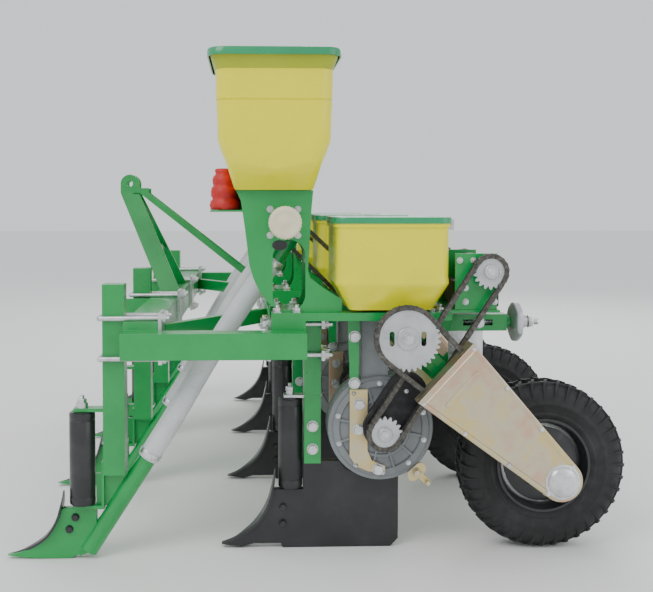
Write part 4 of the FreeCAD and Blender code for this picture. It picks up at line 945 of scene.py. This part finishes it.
def boxes():
    """Hoppers, seed boxes, bells and lids; hinge barrels and knuckles keep their CAD faces."""
    pieces = (("hopper", hopper_mesh(), "yellow_plastic", ("fertilizer_hoppers",), 0, 50),
              ("hopper_band", hopper_band(), "olive_plastic", ("fertilizer_hoppers",), 0, 40),
              ("bell", bell_mesh(), "red_rubber", ("fertilizer_hoppers",), 0, 70),
              ("seed_box", seed_box_mesh(), "yellow_plastic", ("seed_boxes",), 0, 40))
    hinge_edge = 0.0006
    hopper_wall = HOPPER_HALF_Y + 0.012
    seed_wall = SEED_X + SEED_HALF_X + 0.0005
    lid, seed_cover = hopper_lid_mesh(), seed_lid_mesh()
    for row in ROWS:
        row_copies(*pieces, rows=(row,))
        y = ROW_Y[row]
        for mesh, name, body, keep in (
                (lid, "lid", f"hopper_lid_{row}",
                 lambda centre, edge=y + hopper_wall + 0.0062: centre.y > edge),
                (seed_cover, "seed_cover", f"seed_lid_{row}", lambda centre: centre.x > seed_wall + 0.0048)):
            shown(f"{name}_{row}", placed(mesh, Vector((0, y, 0))), body, "lid_green", (body,), 0, 35)
            dressed(body, body, "lid_green", hinge_edge, keep, f"{name}_barrels_{row}")
    dressed("fertilizer_hoppers", "root", "bright_zinc", hinge_edge,
            lambda centre: abs(near_row(centre)) > hopper_wall + 0.0005, "hopper_hinges")
    dressed("seed_boxes", "root", "bright_zinc", hinge_edge,
            lambda centre: centre.x > seed_wall, "seed_hinges")


# ---------------------------------------------------------------- frame, tower, openers

def near_row(centre):
    """A point's Y measured from the nearest row."""
    return min((centre.y - y for y in ROW_Y.values()), key=abs)


def steelwork():
    """The CAD's own steel with rounded edges, split where one node has several finishes."""
    def feeder(centre):
        return (0.7445 < centre.z < 0.8575 and abs(centre.x - FEED.x) < 0.0505
                and abs(near_row(centre)) < 0.0605)

    def latch(centre):
        return abs(centre.x - LATCH[0]) < 0.05 and -0.068 < near_row(centre) < -0.039 and centre.z < 0.227

    def hook(centre):
        return abs(near_row(centre) + 0.063) < 0.0035 and centre.x > 0.05 and centre.z < 0.396

    for node, finish, bevel, keep, name in (
            ("main_frame", "green_paint", 0.0025, lambda centre: True, None),
            ("hitch_mast", "green_paint", 0.0014, lambda centre: not link_pin(centre), None),
            ("hitch_mast", "bright_zinc", 0.0012, link_pin, "link_pins"),
            ("row_frames", "green_paint", 0.0014, lambda centre: True, None),
            ("fertilizer_openers", "green_paint", 0.0012, boot, "boot_tubes"),
            ("hopper_stands", "green_paint", 0.0012, lambda centre: not feeder(centre), None),
            ("hopper_stands", "dark_iron", 0.002, feeder, "feeder_boxes"),
            ("clamps_and_bolts", "bright_zinc", 0.0006,
             lambda centre: not hook(centre) and not latch(centre), None),
            ("clamps_and_bolts", "zinc_yellow", 0.0012,
             lambda centre: hook(centre) and not latch(centre), "meter_hooks")):
        dressed(node, "root", finish, bevel, keep, name)


LATCH = (0.225, 0.196)
BOOT_TOP = (-0.409, 0.235)
BOOT_SLOPE = math.radians(32.7)
BOOT_RADIUS = 0.021
OPENER_SHIFT = -0.055


def boot(centre):
    """Whether a point is on a boot tube rather than on its blade."""
    x, z = centre.x - BOOT_TOP[0], centre.z - BOOT_TOP[1]
    off = z * math.sin(BOOT_SLOPE) - x * math.cos(BOOT_SLOPE)
    return math.hypot(off, near_row(centre) - OPENER_SHIFT) < BOOT_RADIUS + 0.0005


def sweep(start, control, end, steps=16):
    """Points along a parabola in the X-Z plane."""
    shares = [step / steps for step in range(steps + 1)]
    return [tuple((1 - s) ** 2 * a + 2 * s * (1 - s) * b + s * s * c for a, b, c in zip(start, control, end))
            for s in shares]


def wear_blade(path, half_width):
    """A curved, dished blade that narrows to a point at its foot."""
    thickness = 0.007
    loops = []
    last = len(path) - 1
    for index, (x, z) in enumerate(path):
        before, after = path[max(index - 1, 0)], path[min(index + 1, last)]
        along = Vector((after[0] - before[0], 0, after[1] - before[1])).normalized()
        normal = Vector((along.z, 0, -along.x))
        share = index / last
        half = half_width * min(1, 0.35 + 4 * share) * min(1, 0.1 + 1.8 * (1 - share))
        deep = thickness * min(1, 0.35 + 4 * share, 0.3 + 3 * (1 - share))
        loops.append([Vector((x, 0, z)) + normal * (deep * out - thickness * dish)
                      + Vector((0, half * reach, 0))
                      for out, reach, dish in ((0, -1, 0), (0, 1, 0), (1, 0.86, 0.3),
                                               (1, 0, 0), (1, -0.86, 0.3))])
    return skin(loops, BOTH_ENDS)


def openers():
    """Both openers of each row: a shank plate, a curved wear blade and its bolts."""
    seed_edge = sweep((-0.108, 0.19), (-0.112, 0.048), (-0.232, 0.01))
    seed_plate = [point for point in seed_edge if point[1] < 0.15]
    seed_plate += [(-0.19, 0.004), (-0.16, 0.012), (-0.094, 0.012), (-0.09, 0.0015), (0.17, 0.0015),
                   (0.188, 0.02), (0.188, 0.182), (0.17, 0.176), (0.14, 0.172), (0.09, 0.178),
                   (0.062, 0.19), (0.045, 0.21), (-0.04, 0.21), (-0.04, 0.141), (-0.1065, 0.141)]
    front_edge = sweep((-0.606, 0.158), (-0.606, 0.034), (-0.729, 0.009))
    front_plate = [point for point in front_edge if point[1] < 0.117]
    front_plate += [(-0.69, 0.004), (-0.65, 0.002), (-0.59, 0.002), (-0.55, 0.02),
                    (-0.53, 0.04), (-0.53, 0.118), (-0.6055, 0.118)]
    bolt = hexagon_head(0.015, 0.008)
    heads = [(bolt, aimed((x, y, z), TO_NEAR, x * 80))
             for x, y, z in ((-0.09, -0.012, 0.06), (-0.09, -0.012, 0.1),
                             (-0.592, OPENER_SHIFT - 0.0095, 0.07), (-0.578, OPENER_SHIFT - 0.0095, 0.098))]
    shift = Matrix.Translation((0, OPENER_SHIFT, 0))
    row_copies(
        ("shoe", flat([seed_plate], 0.023, 0.0015), "black_paint", ("seed_openers",), 0, 25),
        ("seed_point", gathered([wear_blade(seed_edge, 0.026)]), "black_paint", ("seed_openers",), 0.0008),
        ("knife", gathered([(flat([front_plate], 0.019, 0.0015), shift)]), "green_paint",
         ("fertilizer_openers",), 0, 25),
        ("knife_point", gathered([(wear_blade(front_edge, 0.024), shift)]), "black_paint",
         ("fertilizer_openers",), 0.0008),
        ("opener_bolts", gathered(heads), "black_paint", ()))


def latches():
    """The clean-out latch at the lower rear of each meter: a lug, a bolt and a bent lever."""
    x, z = LATCH
    lug = flat([capsule(0.012, 0.013, (x, z), 0.75)], 0.005, 0.001)
    lever = flat([capsule(0.017, 0.007, (x + 0.012, z - 0.011), -0.74)], 0.004, 0.001)
    head, knob = hexagon_head(0.015, 0.009), hexagon_head(0.011, 0.012)
    stem = turned([(0, 0), (0.007, 0), (0.007, 0.03), (0, 0.03)], "Z", steps=20)
    mesh = gathered([(lug, Matrix.Translation((0, -0.06, 0))), (lever, Matrix.Translation((0, -0.0655, 0))),
                     (head, aimed((x, -0.067, z), TO_NEAR, 0.3)),
                     (knob, aimed((x + 0.025, -0.067, z - 0.023), TO_NEAR, 0.1)),
                     (stem, aimed((x, -0.06, z), TO_FAR))])
    row_copies(("latch", mesh, "zinc_yellow", ("clamps_and_bolts",), 0.0004))


def link_pin(centre):
    return abs(centre.y) > 0.4055 and centre.x < -0.48


def tower_trim():
    """The feeder's bolts and collar, and the blank oval badge on the tower's near side, coloured dark as
    painted shadow of the feeder knob.
    """
    near = -0.075
    head = hexagon_head(0.013, 0.007, tip=0.006)
    trim = [(head, aimed((FEED.x + side * 0.032, near, FEED.z + up * 0.03), TO_NEAR, 0.4))
            for side in (1, -1) for up in (1, -1)]
    collar = turned([(0.0103, 0), (0.026, 0), (0.026, 0.006), (0.022, 0.009), (0.022, 0.03),
                     (0.0185, 0.033), (0.0103, 0.033)], "Z", steps=40)
    trim.append((collar, aimed((FEED.x, near, FEED.z), TO_NEAR)))
    # The oval badge is painted dark: its colour stands for the feeder knob's shadow falling on it.
    plate = flat([[(0.017 * x, 0.011 * z) for x, z in circle(1, 40)]], 0.002, 0.0006)
    return gathered(trim), gathered([(plate, Matrix.Translation((-0.1, near - 0.001, 0.735)))])


def fixings():
    """Hex nuts and heads on the clamps, rails, rollers and channels."""
    nut, head = hexagon_head(0.019, 0.01, tip=0.008), hexagon_head(0.022, 0.011)
    places = [(nut, (-0.3722, y, z), TO_REAR, y * 30) for z in (0.567, 0.473) for y in (-0.086, -0.024)]
    for z in (0.547, 0.473):
        for y in (-0.038, 0.038):
            places += [(nut, (0.0078, y, z), TO_REAR, z * 20), (head, (-0.128, y, z), TO_FRONT, z * 30)]
    places += [(nut, (x, y, 0.579), TO_TOP, x * 50) for x, y in (
        (-0.105, -0.075), (-0.06, -0.075), (0.275, -0.075), (-0.105, 0.075), (-0.06, 0.075))]
    places += [(head, (0.076, -0.066, z), TO_NEAR, z) for z in (0.52, 0.41)]
    places += [(head, (x, -0.066, z), TO_NEAR, z * 9)
               for x, z in ((0.088, 0.36), (0.086, 0.3), (0.132, 0.205))]
    places += [(head, (-0.02, -0.03, z), TO_NEAR, z * 5) for z in (0.3, 0.245)]
    places += [(nut, (-0.562, -0.055, 0.366), TO_TOP, 0), (nut, (-0.072, 0, 0.381), TO_TOP, 0),
               (head, (0.381, -0.02, 0.546), TO_NEAR, 0.3)]
    places += [(nut, (x, -0.126, 0.505), TO_NEAR, x * 60) for x in (0.175, 0.199)]
    return gathered([(mesh, aimed(place, way, spin)) for mesh, place, way, spin in places])


HOSE_ROUTE = ((-0.11, 0.000, 0.7), (-0.19, 0.000, 0.59), (-0.29, -0.03, 0.43),
              (-0.3496, -0.055, 0.3274), (-0.409, -0.055, 0.235))
HOSE_RADIUS = 0.025


def hoses():
    for row in ROWS:
        curve = bpy.data.curves.new(f"hose_{row}", "CURVE")
        curve.dimensions = "3D"
        curve.bevel_depth = HOSE_RADIUS
        curve.bevel_resolution = 8
        curve.resolution_u = 24
        curve.use_fill_caps = True
        spline = curve.splines.new("NURBS")
        spline.points.add(len(HOSE_ROUTE) - 1)
        for point, (x, y, z) in zip(spline.points, HOSE_ROUTE):
            point.co = (x, y + ROW_Y[row], z, 1)
        spline.order_u = 3
        spline.use_endpoint_u = True
        hose = bpy.data.objects.new(f"hose_{row}", curve)
        bpy.context.collection.objects.link(hose)
        curve.materials.append(MATERIALS["hose_plastic"])
        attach(hose, "root")
        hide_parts("fertilizer_hoses")
        x, y, z = HOSE_ROUTE[0]


def hose_clamps():
    """A worm-drive band round each end of the hose."""
    ring = turned([(0.0252, -0.006), (0.0266, -0.006), (0.027, -0.005),
                   (0.027, 0.005), (0.0266, 0.006), (0.0252, 0.006)], "Z", steps=48)
    screw = hexagon_head(0.008, 0.012)
    parts = []
    for start, end in (HOSE_ROUTE[:2], HOSE_ROUTE[:-3:-1]):
        a, b = Vector(start), Vector(end)
        direction = (b - a).normalized()
        place = a + direction * 0.012
        parts += [(ring, aimed(place, direction)),
                  (screw, aimed(place + Vector((0, -0.0285, -0.006)), (0.3, 0, 1)))]
    return gathered(parts)


def fixed_chains():
    """The meter, gearbox and feeder chains of every row."""
    for name, first, second, teeth_a, teeth_b, plane in (
            ("meter_chain", METER, GEARBOX, 18, 18, METER_CHAIN_PLANE),
            ("gearbox_chain", DRIVE, GEARBOX, 18, 18, GEARBOX_CHAIN_PLANE),
            ("feeder_chain", DRIVE, FEED, 18, 15, FEED_CHAIN_PLANE)):
        mesh = roller_chain(first.xz, second.xz, teeth_a, teeth_b, plane)
        row_copies((name, mesh, "chain_steel", ("drive_chains",)))


def small_parts():
    trim, plate = tower_trim()
    # The oval badge's dark finish is painted shadow from the feeder knob.
    row_copies(("feeder_trim", trim, "bright_zinc", ()), ("blank_plate", plate, "dark_iron", ()),
               ("nuts", fixings(), "bright_zinc", ()), ("hose_bands", hose_clamps(), "bright_zinc", ()))


# ---------------------------------------------------------------- stage

def stage():
    """A pale floor, an even sky, and three soft lamps aimed at the planter's middle."""
    bpy.ops.mesh.primitive_plane_add(size=60, location=(0, 0, -0.0005))
    floor = bpy.context.object
    floor.name = "floor"
    shader = Shader("floor")
    shader.set(Base_Color=(0.86, 0.86, 0.85, 1), Roughness=0.75)
    floor.data.materials.append(shader.material)
    world = bpy.data.worlds.new("studio")
    bpy.context.scene.world = world
    world.use_nodes = True
    background = world.node_tree.nodes["Background"]
    background.inputs["Color"].default_value = (0.95, 0.97, 1.0, 1)
    background.inputs["Strength"].default_value = 1.0
    middle = Vector((0, 0, 0.5))
    for name, place, size, power in (("key", (-2.6, -3.4, 4.2), 2.6, 110),
                                     ("fill", (3.6, -3.0, 2.2), 3.0, 35),
                                     ("rim", (1.5, 4.0, 3.6), 3.0, 90)):
        lamp = bpy.data.lights.new(name, "AREA")
        lamp.size = size
        lamp.energy = power
        light = bpy.data.objects.new(name, lamp)
        bpy.context.collection.objects.link(light)
        light.location = place
        light.rotation_euler = (middle - Vector(place)).to_track_quat("-Z", "Y").to_euler()


def camera():
    lens = bpy.data.cameras.new("camera")
    lens.lens = 50.9
    lens.sensor_width = 36
    lens.shift_x = 0.068
    lens.shift_y = -0.073
    viewer = bpy.data.objects.new("camera", lens)
    bpy.context.collection.objects.link(viewer)
    viewer.location = (-0.169, -3.067, 0.821)
    viewer.rotation_euler = (math.radians(90 - 2.5), 0, math.radians(-2.0))
    bpy.context.scene.camera = viewer


camera()
hoses()
wheels()
wheel_arms()
shafts()
housings()
depth_screws()
rollers()
boxes()
steelwork()
openers()
latches()
fixed_chains()
small_parts()
stage()
